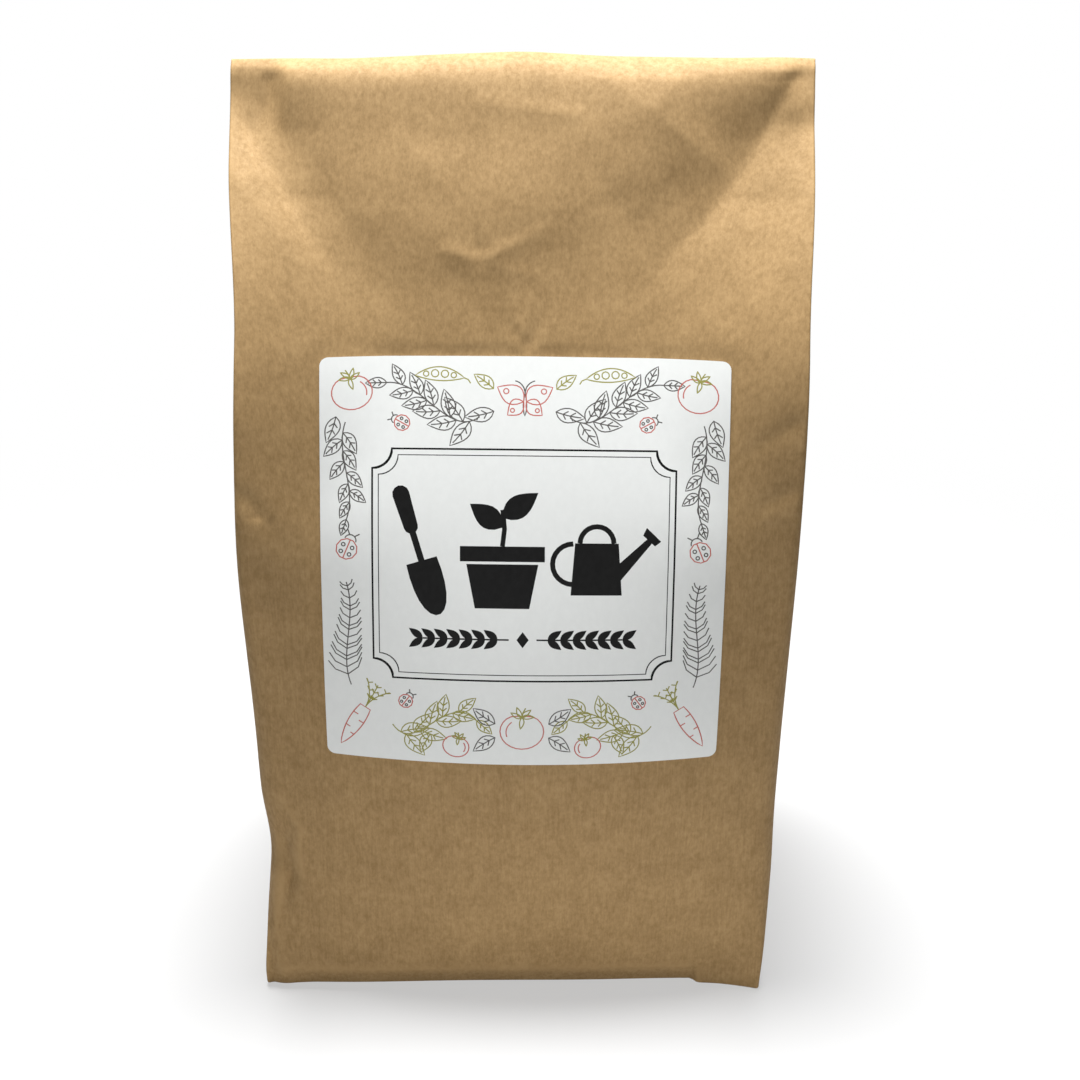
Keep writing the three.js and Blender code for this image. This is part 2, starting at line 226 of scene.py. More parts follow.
class BagForm:
    """The bag's outer surface, worked out from its sizes."""

    SHOULDER_FALL = 0.34
    TUCK_SHARE = 0.65
    CROWN_FADE = 1.3
    RIDGE_SOFTNESS = 0.004
    VALLEY_SOFTNESS = 0.009
    HEAD_SOFTNESS = 0.024
    WING_SOFTNESS = 0.004
    WING_LEAN = 0.39
    CREASE_PLY = 0.001
    LIP_LEAN = math.radians(68)
    LIP_CURVE = 0.0032
    CORNER_GROW_HEIGHT = 0.05
    TUCK_ROOF = 0.004
    BASE_EDGE = 0.0012

    def __init__(self, sizes):
        self.sizes = sizes
        self.half_gusset = sizes.gusset_width / 2
        self.lip = sizes.standing_height - sizes.fold_radius
        self.shoulder = self.lip - sizes.shoulder_drop
        lean = self.half_gusset - sizes.fold_radius
        self.shoulder_slope = lean / (sizes.shoulder_drop - sizes.wing_height)
        self.tangent = self.lip + sizes.fold_radius * math.sin(self.LIP_LEAN)
        self.tangent_depth = sizes.fold_radius * math.cos(self.LIP_LEAN)
        self.head_slope = self.lean_of_head()
        self.fill = self.shoulder - sizes.shoulder_round
        self.head_foot = self.shoulder + sizes.shoulder_round
        self.flap_edge = self.lip - sizes.flap_length * math.cos(math.atan(self.head_slope))

    def lean_of_head(self):
        """Slope of the head below its curve into the fold, so that it meets the body at the shoulder."""
        steep = math.tan(self.LIP_LEAN) * self.LIP_CURVE
        reach = self.half_gusset - self.sizes.shoulder_sag - self.tangent_depth - steep
        return reach / (self.tangent - self.shoulder - self.LIP_CURVE)

    def lip_bulk(self, z):
        """How much the curve into the top fold adds to the depth below it."""
        below = np.maximum(self.tangent - z, 0)
        extra = (math.tan(self.LIP_LEAN) - self.head_slope) * self.LIP_CURVE
        return extra * (1 - np.exp(-below / self.LIP_CURVE))

    def head_depth(self, z):
        """Half the depth of the head's middle: a straight lean that curves over into the top fold."""
        sheet = self.tangent_depth + self.head_slope * np.maximum(self.tangent - z, 0) + self.lip_bulk(z)
        return np.where(z < self.tangent, sheet, self.fold_depth(z))

    def head_share(self, z):
        return np.clip((z - self.fill) / (self.lip - self.fill), 0, 1)

    def below_lip(self, z, span):
        return np.clip((self.lip - z) / span, 0, 1)

    def base_inset(self, z):
        rise = np.maximum(self.BASE_EDGE - z, 0)
        return self.BASE_EDGE - np.sqrt(np.maximum(self.BASE_EDGE**2 - rise**2, 0))

    def fold_depth(self, z):
        radius = self.sizes.fold_radius
        return np.sqrt(np.maximum(radius**2 - np.maximum(z - self.lip, 0) ** 2, 0))

    def crease_depth(self, z):
        leaning = self.half_gusset - self.shoulder_slope * soft_ramp(
            z - self.shoulder, self.sizes.shoulder_round
        )
        wing = self.fold_depth(z) + self.WING_LEAN * np.clip(self.lip - z, 0, self.sizes.shoulder_drop)
        softness = self.WING_SOFTNESS * self.below_lip(z, self.sizes.wing_height)
        return soft_max(leaning, wing, np.maximum(softness, self.sizes.fold_radius))

    def side_width(self, side, z):
        """Half the width on one side, -1 for the left and 1 for the right, with the bows of its crease."""
        flare = (self.sizes.lip_width - self.sizes.body_width) / 2
        flare = flare * smooth_step(z, self.shoulder, self.lip - self.sizes.wing_height)
        left, right = (
            sum(out * bump(z, *place) for out, place in bows) for bows in (LEFT_BOWS, RIGHT_BOWS)
        )
        return self.sizes.body_width / 2 + flare + np.where(side < 0, left, right) - self.base_inset(z)

    def swelling(self, z, end):
        belly = self.sizes.belly_height
        above = np.cos(math.pi / 2 * np.clip((z - belly) / (end - belly), 0, 1)) ** 2
        return np.where(z < belly, np.sin(math.pi / 2 * z / belly), above)

    def middle_depth(self, bulge, z):
        hollow = self.sizes.base_hollow * (1 - np.clip(z / self.sizes.belly_height, 0, 1)) ** 2
        body = self.half_gusset + bulge * self.swelling(z, self.head_foot) - hollow
        return soft_min(body, self.head_depth(z), self.HEAD_SOFTNESS)

    def corner_radius(self, z):
        grown = smooth_step(z, 0, self.CORNER_GROW_HEIGHT)
        grown = grown * (1 - smooth_step(z, self.sizes.belly_height, self.shoulder))
        radius = self.CREASE_PLY + (self.sizes.corner_radius - self.CREASE_PLY) * grown
        return np.minimum(radius, self.crease_depth(z) / 2)

    def panel_depth(self, bulge, x, z):
        """Depth of a panel: its middle part, or the shoulder where that stands out."""
        width = self.side_width(np.sign(x), z)
        middle = self.middle_depth(bulge, z) - self.pinch(x / width, z)
        rise = np.clip((z - self.shoulder) / self.sizes.shoulder_drop, 0, 1)
        crown = self.sizes.head_crown * np.sin(math.pi * rise**self.CROWN_FADE)
        edge = soft_max(middle - self.half_gusset, 0, self.RIDGE_SOFTNESS) + crown
        crease = self.crease_depth(z)
        tuck = np.maximum(self.tuck_depth(z), TINY)
        fall = np.minimum(self.SHOULDER_FALL, self.TUCK_SHARE * crease / tuck)
        shoulder = crease - fall * (width - np.abs(x))
        softness = self.VALLEY_SOFTNESS * self.below_lip(z, self.sizes.shoulder_drop)
        depth = soft_max(middle - edge * (x / width) ** 2, shoulder, softness)
        radius = self.corner_radius(z)
        around = np.clip(np.abs(x) - (width - radius), 0, radius)
        return depth - self.base_inset(z) - (radius - np.sqrt(np.maximum(radius**2 - around**2, 0)))

    def deepest_relief(self, bulge, x, z):
        """How far a panel can be pressed in before it meets the gusset fold tucked in behind it."""
        side = np.sign(x)
        width = self.side_width(side, z)
        inward = width - np.abs(x)
        edge = self.panel_depth(bulge, side * width, z)
        behind = edge * (1 - inward / np.maximum(self.tuck_depth(z), TINY))
        return behind - self.panel_depth(bulge, x, z) + SHEET_GAP * np.clip(inward / SHEET_GAP_RUN, 0, 1)

    def pinch(self, u, z):
        """How much thinner the head is below the ends of the top fold, where it is pressed sharp."""
        ends = [
            smooth_step(side * u, *reach) * smooth_step(z, self.lip - height, self.lip)
            for side, reach, height in PINCHES
        ]
        return PINCH * np.maximum(*ends) * self.lip_bulk(z)

    def settle(self, x, y, z):
        """Lets the top fold droop towards its ends, and sway a little to and fro."""
        head = self.head_share(z) ** 2
        u = np.clip(x / self.side_width(np.sign(x), z), -1, 1)
        places, drops = zip(*LIP_LINE)
        droop = np.mean([np.interp(u + step, places, drops) for step in LIP_BLEND], axis=0)
        sway = LIP_SWAY * np.sin(x * LIP_WAVES + LIP_PHASE) * head
        return np.stack(np.broadcast_arrays(x, y + sway, z - droop * head), axis=-1)

    def front(self, x, z, relief):
        return self.settle(x, -self.panel_depth(self.sizes.front_bulge, x, z) - relief, z)

    def flap(self, z):
        """Thickness of the turned-over top at a height on the back."""
        lying = np.clip((z - self.flap_edge) / FLAP_STEP, 0, 1)
        lying = lying * self.fold_depth(z) / self.sizes.fold_radius
        return self.sizes.flap_thickness * lying

    def back(self, x, z, relief):
        depth = self.panel_depth(self.sizes.back_bulge, x, z) + self.flap(z)
        return self.settle(x, depth + relief, z)

    def tuck_depth(self, z):
        closing = np.sqrt(np.maximum(self.half_gusset**2 - self.crease_depth(z) ** 2, 0))
        return closing * self.below_lip(z, self.TUCK_ROOF)

    def gusset_reach(self, side, t, z):
        towards_middle = 1 - np.abs(2 * t - 1)
        out = self.sizes.gusset_bulge * self.swelling(z, self.fill) * 4 * t * (1 - t)
        return self.side_width(side, z) + out - self.tuck_depth(z) * towards_middle


# Creases and dents in the paper


class Crease(NamedTuple):
    """A bent line pressed in or out: its points, their heights and the run of its two slopes."""

    points: tuple
    heights: tuple
    slopes: tuple


class Swell(NamedTuple):
    """A broad soft rise: its middle, its direction, its height and its reach along and across."""

    middle: tuple
    turn: float
    height: float
    reach: tuple


class Dent(NamedTuple):
    """A pyramid pressed in or out of the paper: its peak, its height and the corners around it."""

    peak: tuple
    height: float
    corners: tuple


def crease_relief(crease, x, z):
    """Relief of one crease: the strongest of its straight runs at each point."""
    relief = np.zeros(np.broadcast(x, z).shape)
    ends = zip(crease.points, crease.points[1:], crease.heights, crease.heights[1:])
    for (ax, az), (bx, bz), low, high in ends:
        run = math.hypot(bx - ax, bz - az)
        along = ((x - ax) * (bx - ax) + (z - az) * (bz - az)) / run**2
        across = ((bx - ax) * (z - az) - (bz - az) * (x - ax)) / run
        past = np.maximum(np.abs(along - 0.5) - 0.5, 0) * run
        slope = np.where(across > 0, crease.slopes[0], crease.slopes[1])
        fall = np.clip(1 - np.abs(across) / slope, 0, 1) ** 2
        fall = fall * (1 - smooth_step(past, 0, sum(crease.slopes) / 2))
        height = (low + (high - low) * np.clip(along, 0, 1)) * fall
        relief = np.where(np.abs(height) > np.abs(relief), height, relief)
    return relief


def shares_towards(a, b, c, x, z):
    """How far each point lies from corner a of a triangle towards corner b and towards corner c."""
    area = (b[0] - a[0]) * (c[1] - a[1]) - (b[1] - a[1]) * (c[0] - a[0])
    to_b = ((x - a[0]) * (c[1] - a[1]) - (z - a[1]) * (c[0] - a[0])) / area
    to_c = ((z - a[1]) * (b[0] - a[0]) - (x - a[0]) * (b[1] - a[1])) / area
    return to_b, to_c


def peak_weight(peak, a, b, x, z):
    """How near each point of a triangle lies to its peak, from 0 on the far side to 1; 0 outside."""
    to_a, to_b = shares_towards(peak, a, b, x, z)
    inside = (to_a >= 0) & (to_b >= 0)
    return np.where(inside, np.clip(1 - to_a - to_b, 0, 1), 0)


def dent_relief(dent, x, z):
    corners = dent.corners
    pairs = zip(corners, corners[1:] + corners[:1])
    return dent.height * np.max([peak_weight(dent.peak, a, b, x, z) for a, b in pairs], axis=0)


def swell_relief(swell, x, z):
    c, s = math.cos(swell.turn), math.sin(swell.turn)
    along = c * (x - swell.middle[0]) + s * (z - swell.middle[1])
    across = c * (z - swell.middle[1]) - s * (x - swell.middle[0])
    return swell.height * bump(along, 0, swell.reach[0]) * bump(across, 0, swell.reach[1])


CRUMPLE_REACH = 0.12
CRUMPLE_FOOT = -0.01
CRUMPLE_TOP = 0.38
CRUMPLE_JITTER = 0.45


def crumple_field(seed, spacing, x, z):
    """Random flat facets, as in paper that was crushed and smoothed out: heights from -1 to 1."""
    random = np.random.default_rng(seed)
    across = np.linspace(-CRUMPLE_REACH, CRUMPLE_REACH, int(2 * CRUMPLE_REACH / spacing))
    up = np.linspace(CRUMPLE_FOOT, CRUMPLE_TOP, int(CRUMPLE_TOP / spacing))
    grid = np.stack(np.meshgrid(across, up), axis=-1)
    moves = random.uniform(-CRUMPLE_JITTER, CRUMPLE_JITTER, grid.shape)
    points = (grid + moves * spacing).reshape(-1, 2)
    heights = random.uniform(-1, 1, len(points))
    triangles = delaunay_2d_cdt([Vector(p) for p in points], [], [], 0, TINY)[2]
    field = np.zeros(np.broadcast(x, z).shape)
    for triangle in triangles:
        a, b, c = (points[i] for i in triangle)
        near = (x >= min(a[0], b[0], c[0])) & (x <= max(a[0], b[0], c[0]))
        near = near & (z >= min(a[1], b[1], c[1])) & (z <= max(a[1], b[1], c[1]))
        if not near.any():
            continue
        to_b, to_c = shares_towards(a, b, c, x[near], z[near])
        inside = (to_b >= 0) & (to_c >= 0) & (to_b + to_c <= 1)
        height = heights[list(triangle)]
        level = height[0] + to_b * (height[1] - height[0]) + to_c * (height[2] - height[0])
        field[near] = np.where(inside, level, field[near])
    return field


def soften(field, passes):
    """Each value averaged with its neighbours in the grid."""
    for _ in range(passes):
        padded = np.pad(field, 1, mode="edge")
        sides = padded[:-2, 1:-1] + padded[2:, 1:-1] + padded[1:-1, :-2] + padded[1:-1, 2:]
        field = 0.5 * field + 0.125 * sides
    return field


def wander(x, z, scale, amount, seed):
    """Moves points a little to and fro, so that creases don't run dead straight."""
    noise.seed_set(seed)
    flat = zip((x / scale).ravel(), (z / scale).ravel())
    moves = [noise.noise_vector(Vector((px, pz, seed)))[:2] for px, pz in flat]
    moves = np.array(moves).reshape(*x.shape, 2) * amount
    return x + moves[..., 0], z + moves[..., 1]


FRONT_CREASES = [
    Crease(
        ((-0.089, 0.3555), (-0.0915, 0.343), (-0.0945, 0.3285)),
        (-0.0011, -0.0009, -0.0016),
        (0.012, 0.005),
    ),
    Crease(
        ((-0.0945, 0.3285), (-0.083, 0.309), (-0.066, 0.284)),
        (-0.0016, -0.0012, -0.0002),
        (0.02, 0.007),
    ),
    Crease(((-0.0945, 0.3285), (-0.073, 0.331)), (-0.0009, -0.0001), (0.005, 0.009)),
    Crease(((-0.099, 0.316), (-0.08, 0.29)), (0.0007, 0.0004), (0.009, 0.014)),
    Crease(
        ((0.0985, 0.3535), (0.0795, 0.319), (0.066, 0.301), (0.041, 0.276)),
        (-0.0014, -0.0012, -0.001, -0.0001),
        (0.008, 0.026),
    ),
    Crease(((0.0415, 0.356), (0.0365, 0.3495)), (-0.001, -0.0003), (0.0026, 0.0024)),
    Crease(((0.0365, 0.3495), (0.045, 0.347)), (0.0004, 0.0001), (0.003, 0.003)),
    Crease(((-0.012, 0.339), (0.018, 0.336)), (0.0004, 0.0006), (0.006, 0.012)),
    Crease(((-0.034, 0.32), (-0.02, 0.302)), (0.0004, 0.0001), (0.006, 0.01)),
    Crease(
        ((-0.0245, 0.2915), (-0.0145, 0.2882), (0.007, 0.2975)),
        (0.0005, 0.0007, 0.0002),
        (0.0026, 0.011),
    ),
    Crease(((-0.0145, 0.2882), (-0.0215, 0.309)), (-0.0006, -0.0001), (0.006, 0.005)),
    Crease(((-0.0145, 0.2882), (0.006, 0.2815)), (0.0005, 0.0001), (0.003, 0.009)),
    Crease(
        ((-0.0065, 0.2685), (0.0035, 0.258), (0.008, 0.272)),
        (-0.0001, -0.0008, -0.0001),
        (0.003, 0.004),
    ),
    Crease(((0.0, 0.2585), (0.0015, 0.275)), (0.0006, 0.0002), (0.0025, 0.003)),
    Crease(
        ((-0.092, 0.09), (-0.0838, 0.0745), (-0.0825, 0.048)),
        (0.0004, 0.0019, 0.0004),
        (0.009, 0.006),
    ),
    Crease(
        ((-0.0985, 0.06), (-0.0985, 0.03), (-0.0985, 0.002)),
        (-0.0008, -0.0026, -0.0024),
        (0.007, 0.006),
    ),
    Crease(
        ((-0.0925, 0.0745), (-0.0902, 0.065), (-0.0892, 0.052), (-0.094, 0.028)),
        (-0.0008, -0.0044, -0.0044, -0.0006),
        (0.006, 0.005),
    ),
    Crease(((-0.0968, 0.209), (-0.084, 0.192)), (-0.0007, -0.0001), (0.007, 0.006)),
    Crease(((-0.0962, 0.186), (-0.082, 0.171)), (-0.0006, -0.0001), (0.006, 0.007)),
    Crease(((0.0955, 0.236), (0.08, 0.222)), (-0.0006, -0.0001), (0.007, 0.006)),
    Crease(((0.0962, 0.213), (0.083, 0.204)), (-0.0006, -0.0001), (0.005, 0.007)),
]
FRONT_DENTS = [
    Dent(
        (-0.0945, 0.3288),
        -0.001,
        ((-0.1035, 0.332), (-0.097, 0.316), (-0.084, 0.32), (-0.089, 0.338)),
    ),
    Dent(
        (0.0465, 0.3385),
        0.0018,
        ((0.02, 0.353), (0.018, 0.329), (0.038, 0.298), (0.074, 0.316), (0.06, 0.354)),
    ),
    Dent(
        (-0.0965, 0.0645),
        -0.0026,
        ((-0.1015, 0.088), (-0.102, 0.038), (-0.0865, 0.055), (-0.088, 0.076)),
    ),
]
FRONT_SWELLS = [
    Swell((0.002, 0.307), 0.62, 0.0022, (0.05, 0.024)),
    Swell((-0.058, 0.313), 0.0, 0.0022, (0.04, 0.027)),
    Swell((0.056, 0.312), 0.0, 0.0008, (0.028, 0.026)),
    Swell((-0.097, 0.19), 0.0, 0.0038, (0.02, 0.036)),
    Swell((0.093, 0.256), 0.0, 0.0011, (0.014, 0.024)),
]
BACK_CREASES = [
    Crease(((-0.099, 0.352), (-0.081, 0.321), (-0.06, 0.293)), (-0.0014, -0.0014, -0.0002), (0.02, 0.011)),
    Crease(((0.0975, 0.352), (0.085, 0.325), (0.064, 0.296)), (-0.0016, -0.0014, -0.0002), (0.011, 0.02)),
    Crease(((0.012, 0.287), (-0.016, 0.279)), (0.0008, 0.0002), (0.008, 0.012)),
    Crease(((-0.096, 0.205), (-0.08, 0.19)), (-0.0006, -0.0001), (0.008, 0.008)),
    Crease(((0.096, 0.17), (0.082, 0.158)), (-0.0006, -0.0001), (0.008, 0.008)),
    Crease(((-0.1, 0.0675), (0.1, 0.0675)), (-0.0005, -0.0005), (0.006, 0.004)),
]
GUSSET_CREASES = [
    Crease(((0.0, 0.0675), (0.0, 0.24)), (-0.0016, -0.0016), (0.012, 0.012)),
    Crease(((-0.0675, 0.0), (0.0, 0.0675), (0.0675, 0.0)), (-0.0008, -0.0016, -0.0008), (0.01, 0.01)),
    Crease(((-0.055, 0.23), (-0.02, 0.205)), (-0.0009, -0.0002), (0.01, 0.012)),
    Crease(((0.052, 0.226), (0.022, 0.198)), (-0.0009, -0.0002), (0.012, 0.01)),
    Crease(((-0.06, 0.14), (-0.035, 0.128)), (-0.0006, -0.0001), (0.008, 0.008)),
]

FRONT_SEED = 11
BACK_SEED = 23
GUSSET_SEEDS = ((1, 37), (-1, 51))
PANEL_WANDER = (0.022, 0.0016)
GUSSET_WANDER = (0.03, 0.0008)

# Small facets: their height and spacing, and how much of them the tight belly and the edges keep
CRUMPLE_COARSE = 0.00042
CRUMPLE_FINE = 0.00013
COARSE_SPACING = 0.03
FINE_SPACING = 0.012
BELLY_SHARE = 0.3
BELLY_BLEND = 0.03
EDGE_SHARE = 0.8
EDGE_AT = (0.07, 0.095)
CALM_EDGE = 0.005

# Lower edge of the front: places across, how far it stands out there, and the fold at its right end
BASE_LINE = (
    (-0.1, 0.0055),
    (-0.085, 0.008),
    (-0.06, 0.0075),
    (-0.03, 0.0058),
    (0.0, 0.0049),
    (0.03, 0.0044),
    (0.055, 0.003),
    (0.1, 0.0026),
)
BASE_LINE_HEIGHT = 0.085
BASE_BLEND = (-0.012, -0.006, 0.0, 0.006, 0.012)
BASE_STEP = 0.0027
BASE_STEP_AT = (0.071, 0.0745)
BASE_STEP_HEIGHT = 0.012
CORNER_FLARE = 0.001
CORNER_FLARE_AT = (0.08, 0.1)
CORNER_FLARE_HEIGHT = 0.03

# Glued seam down the back
SEAM_AT = (0.018, 0.0196)
SEAM_PLY = 0.00045
SEAM_CALM = 0.01

# The top fold is pressed, so the marks fade out towards it
LIP_CALM = 0.004
LIP_LEAST = 0.35

# Bend of the relief: ridges wear pale, valleys get painted shade in the kraft material
BEND_PASSES = 3
BEND_UNIT = 0.0001
PRESSED_EDGE = 0.0012


def label_calm(x, z):
    """1 away from the label and 0 beneath it, where the glued label keeps the paper flat."""
    inside = soft_min(x - LABEL_LOW.x, LABEL_HIGH.x - x, CALM_EDGE)
    inside = soft_min(inside, soft_min(z - LABEL_LOW.z, LABEL_HIGH.z - z, CALM_EDGE), CALM_EDGE)
    return 1 - smooth_step(inside, -CALM_EDGE, 0.0)


def crumple(form, seed, x, z):
    """Random facets, stronger in the slack head and along the creases than over the tight belly."""
    slack = BELLY_SHARE + (1 - BELLY_SHARE) * smooth_step(z, form.fill - BELLY_BLEND, form.shoulder)
    slack = np.maximum(slack, EDGE_SHARE * smooth_step(np.abs(x), *EDGE_AT))
    coarse = soften(crumple_field(seed, COARSE_SPACING, x, z), 2)
    fine = soften(crumple_field(seed + 1, FINE_SPACING, x, z), 1)
    return form.sizes.crumple * slack * (CRUMPLE_COARSE * coarse + CRUMPLE_FINE * fine)


def together(marks):
    """Marks that cross don't add up: the highest and the lowest of them count at each point."""
    return np.maximum(np.max(marks, axis=0), 0) + np.minimum(np.min(marks, axis=0), 0)


def panel_relief(form, seed, creases, dents, x, z):
    wx, wz = wander(x, z, *PANEL_WANDER, seed)
    marks = [crease_relief(crease, wx, wz) for crease in creases]
    marks += [dent_relief(dent, wx, wz) for dent in dents]
    relief = together(marks) + crumple(form, seed, x, z)
    over_fold = LIP_LEAST * form.fold_depth(z) / form.sizes.fold_radius
    return soften(relief, 1) * np.maximum(form.below_lip(z, LIP_CALM), over_fold)


def front_relief(form, x, z):
    relief = panel_relief(form, FRONT_SEED, FRONT_CREASES, FRONT_DENTS, x, z)
    relief = (relief + sum(swell_relief(swell, x, z) for swell in FRONT_SWELLS)) * label_calm(x, z)
    step = BASE_STEP * (1 - smooth_step(x, *BASE_STEP_AT)) * (1 - smooth_step(z, 0, BASE_STEP_HEIGHT))
    flare = CORNER_FLARE * smooth_step(np.abs(x), *CORNER_FLARE_AT)
    relief = relief - step + flare * (1 - smooth_step(z, 0, CORNER_FLARE_HEIGHT))
    places, outs = zip(*BASE_LINE)
    line = np.mean([np.interp(x + along, places, outs) for along in BASE_BLEND], axis=0)
    relief = relief + line * (1 - smooth_step(z, 0, BASE_LINE_HEIGHT))
    return np.maximum(relief, form.deepest_relief(form.sizes.front_bulge, x, z))


def back_relief(form, x, z):
    relief = panel_relief(form, BACK_SEED, BACK_CREASES, [], x, z)
    relief = np.maximum(relief, form.deepest_relief(form.sizes.back_bulge, x, z))
    seam = SEAM_PLY * smooth_step(x, *SEAM_AT) * smooth_step(z, 0, BagForm.BASE_EDGE)
    return relief + seam * form.below_lip(z, SEAM_CALM)


def gusset_relief(form, seed, y, z):
    wy, wz = wander(y, z, *GUSSET_WANDER, seed)
    relief = together([crease_relief(crease, wy, wz) for crease in GUSSET_CREASES])
    relief = relief * (1 - smooth_step(z, form.fill, form.shoulder))
    return soften(relief + crumple(form, seed, y, z), 1)


def curvature(relief):
    """How sharply the relief bends at each point of its grid: above 0 on ridges, below 0 in valleys."""
    return (relief - soften(relief, BEND_PASSES)) / BEND_UNIT


# Mesh of the bag
FLAT_COLUMNS = 150
CORNER_COLUMNS = 6
GUSSET_COLUMNS = 40
BODY_ROW_STEP = 0.0023
HEAD_ROW_STEP = 0.0015
BASE_ROWS = 6
FOLD_ROWS = 9
FOLD_END = math.radians(84)
TOOTH = 0.0008
TOOTH_REACH = 0.003
BASE_PLY = 0.0003
BASE_OVERLAP = 0.015
SHARP_FOLD = math.radians(50)


def row_heights(form):
    """Heights of the rings, close together at the base's edge, the flap's cut edge and the top fold."""
    base = form.BASE_EDGE * (1 - np.cos(np.linspace(0, math.pi / 2, BASE_ROWS)))
    body = np.arange(form.BASE_EDGE + BODY_ROW_STEP, form.fill, BODY_ROW_STEP)
    head = np.arange(form.fill, form.lip - HEAD_ROW_STEP / 2, HEAD_ROW_STEP)
    head = head[np.abs(head - form.flap_edge) > HEAD_ROW_STEP / 2]
    cut = [form.flap_edge, form.flap_edge + FLAP_STEP]
    fold = form.lip + form.sizes.fold_radius * np.sin(np.linspace(0, FOLD_END, FOLD_ROWS))
    return np.sort(np.concatenate([base, body, head, cut, fold]))[:, None]


def panel_columns(form, z):
    """Places across a panel: equal turns round each corner and equal steps between."""
    radius = form.corner_radius(z)
    left = form.side_width(-1, z) - radius
    right = form.side_width(1, z) - radius
    turn = np.sin(np.linspace(0, math.pi / 2, CORNER_COLUMNS + 1))[None, :]
    steps = np.linspace(0, 1, FLAT_COLUMNS + 1)[None, :]
    flat = -left + (left + right) * steps
    return np.concatenate([-left - radius * turn[:, :0:-1], flat, right + radius * turn[:, 1:]], axis=1)


def cut_teeth(form, z, columns):
    """The flap's cut edge is pinked: its rows go up and down by turns."""
    sign = np.where(np.arange(columns) % 2, 1, -1)[None, :]
    ends = np.minimum(np.arange(columns), np.arange(columns)[::-1]) > CORNER_COLUMNS
    return TOOTH * sign * ends * bump(z, form.flap_edge, TOOTH_REACH)


def ring_grid(form):
    """Points of all the rings, and at each how the paper bends: ridges that wear pale, and valleys that
    get painted shade.
    """
    z = row_heights(form)
    x = panel_columns(form, z)
    zx = np.broadcast_to(z, x.shape)
    to_front = front_relief(form, x, zx)
    to_back = back_relief(form, x, zx)
    front = form.front(x, zx, to_front)
    back = form.back(x, zx, to_back)
    back[..., 2] += cut_teeth(form, z, x.shape[1])
    t = np.linspace(0, 1, GUSSET_COLUMNS + 1)[None, 1:-1]
    sides = []
    for side, seed in GUSSET_SEEDS:
        column = -1 if side > 0 else 0
        edge = x[:, [column]]
        front_edge = form.panel_depth(form.sizes.front_bulge, edge, z) + to_front[:, [column]]
        back_edge = form.panel_depth(form.sizes.back_bulge, edge, z) + to_back[:, [column]]
        y = back_edge * t - front_edge * (1 - t)
        zy = np.broadcast_to(z, y.shape)
        relief = gusset_relief(form, seed, y, zy) * np.clip(8 * t * (1 - t), 0, 1)
        reach = form.gusset_reach(side, t, z) + relief
        points = form.settle(side * reach, y, zy)
        sides.append((points, curvature(relief)))
    (right, right_wear_and_valley_shade), (left, left_wear_and_valley_shade) = sides
    points = np.concatenate([front, right, back[:, ::-1], left[:, ::-1]], axis=1)
    at_edge = np.abs(x) > form.side_width(np.sign(x), zx) - PRESSED_EDGE
    pressed = smooth_step(zx, form.shoulder, form.lip) * at_edge
    # Bend of the paper: ridges and pressed edges wear pale, valleys get painted shade
    front_wear_and_valley_shade = np.maximum(curvature(to_front), pressed)
    back_wear_and_valley_shade = np.maximum(curvature(to_back), pressed)
    wear = np.concatenate([front_wear_and_valley_shade, right_wear_and_valley_shade, back_wear_and_valley_shade[:, ::-1], left_wear_and_valley_shade[:, ::-1]], axis=1)
    return points, wear


def ring_faces(rows, size):
    """Quads between each ring and the next."""
    first = np.arange(rows - 1)[:, None] * size
    here = np.arange(size)[None, :]
    after = (here + 1) % size
    quads = np.stack([first + here, first + after, first + size + after, first + size + here], axis=-1)
    return quads.reshape(-1, 4)


def end_sheet(ring, panel, gusset, height):
    """Grid of points that closes an end ring, and its quads; height gives each inner point's lift."""
    across = panel + 1
    front = np.arange(across)
    right = panel + np.arange(gusset + 1)
    back = 2 * panel + gusset - np.arange(across)
    left = (2 * panel + 2 * gusset - np.arange(gusset + 1)) % len(ring)
    index = np.zeros((gusset + 1, across), int)
    inner = []
    for row in range(gusset + 1):
        t = row / gusset
        for column in range(across):
            if row == 0:
                index[row, column] = front[column]
            elif row == gusset:
                index[row, column] = back[column]
            elif column == 0:
                index[row, column] = left[row]
            elif column == panel:
                index[row, column] = right[row]
            else:
                s = column / panel
                sides = ring[front[column]] * (1 - t) + ring[back[column]] * t
                ends = ring[left[row]] * (1 - s) + ring[right[row]] * s
                corners = ring[front[0]] * (1 - s) * (1 - t) + ring[front[-1]] * s * (1 - t)
                corners = corners + ring[back[0]] * (1 - s) * t + ring[back[-1]] * s * t
                point = sides + ends - corners
                index[row, column] = len(ring) + len(inner)
                inner.append(point + np.array([0, 0, height(point[0], point[1])]))
    quads = np.stack([index[:-1, :-1], index[:-1, 1:], index[1:, 1:], index[1:, :-1]], axis=-1)
    return np.array(inner), quads.reshape(-1, 4)


def base_fold_height(form):
    """Lift of the folded base: outer front flap lowest, then the back flap, then the gusset ends."""
    corner = form.sizes.body_width / 2
    apex = corner - form.half_gusset

    def height(x, y):
        if abs(x) - apex > abs(y):
            return 2 * BASE_PLY
        behind = y > BASE_OVERLAP or (y > 0 and abs(x) > apex)
        return BASE_PLY if behind else 0.0

    return height


def mesh_object(name, points, faces, materials):
    mesh = bpy.data.meshes.new(name)
    mesh.from_pydata(points, [], faces)
    for material in materials:
        mesh.materials.append(material)
    mesh.polygons.foreach_set("use_smooth", np.ones(len(mesh.polygons), bool))
    mesh.update()
    piece = bpy.data.objects.new(name, mesh)
    bpy.context.scene.collection.objects.link(piece)
    return piece


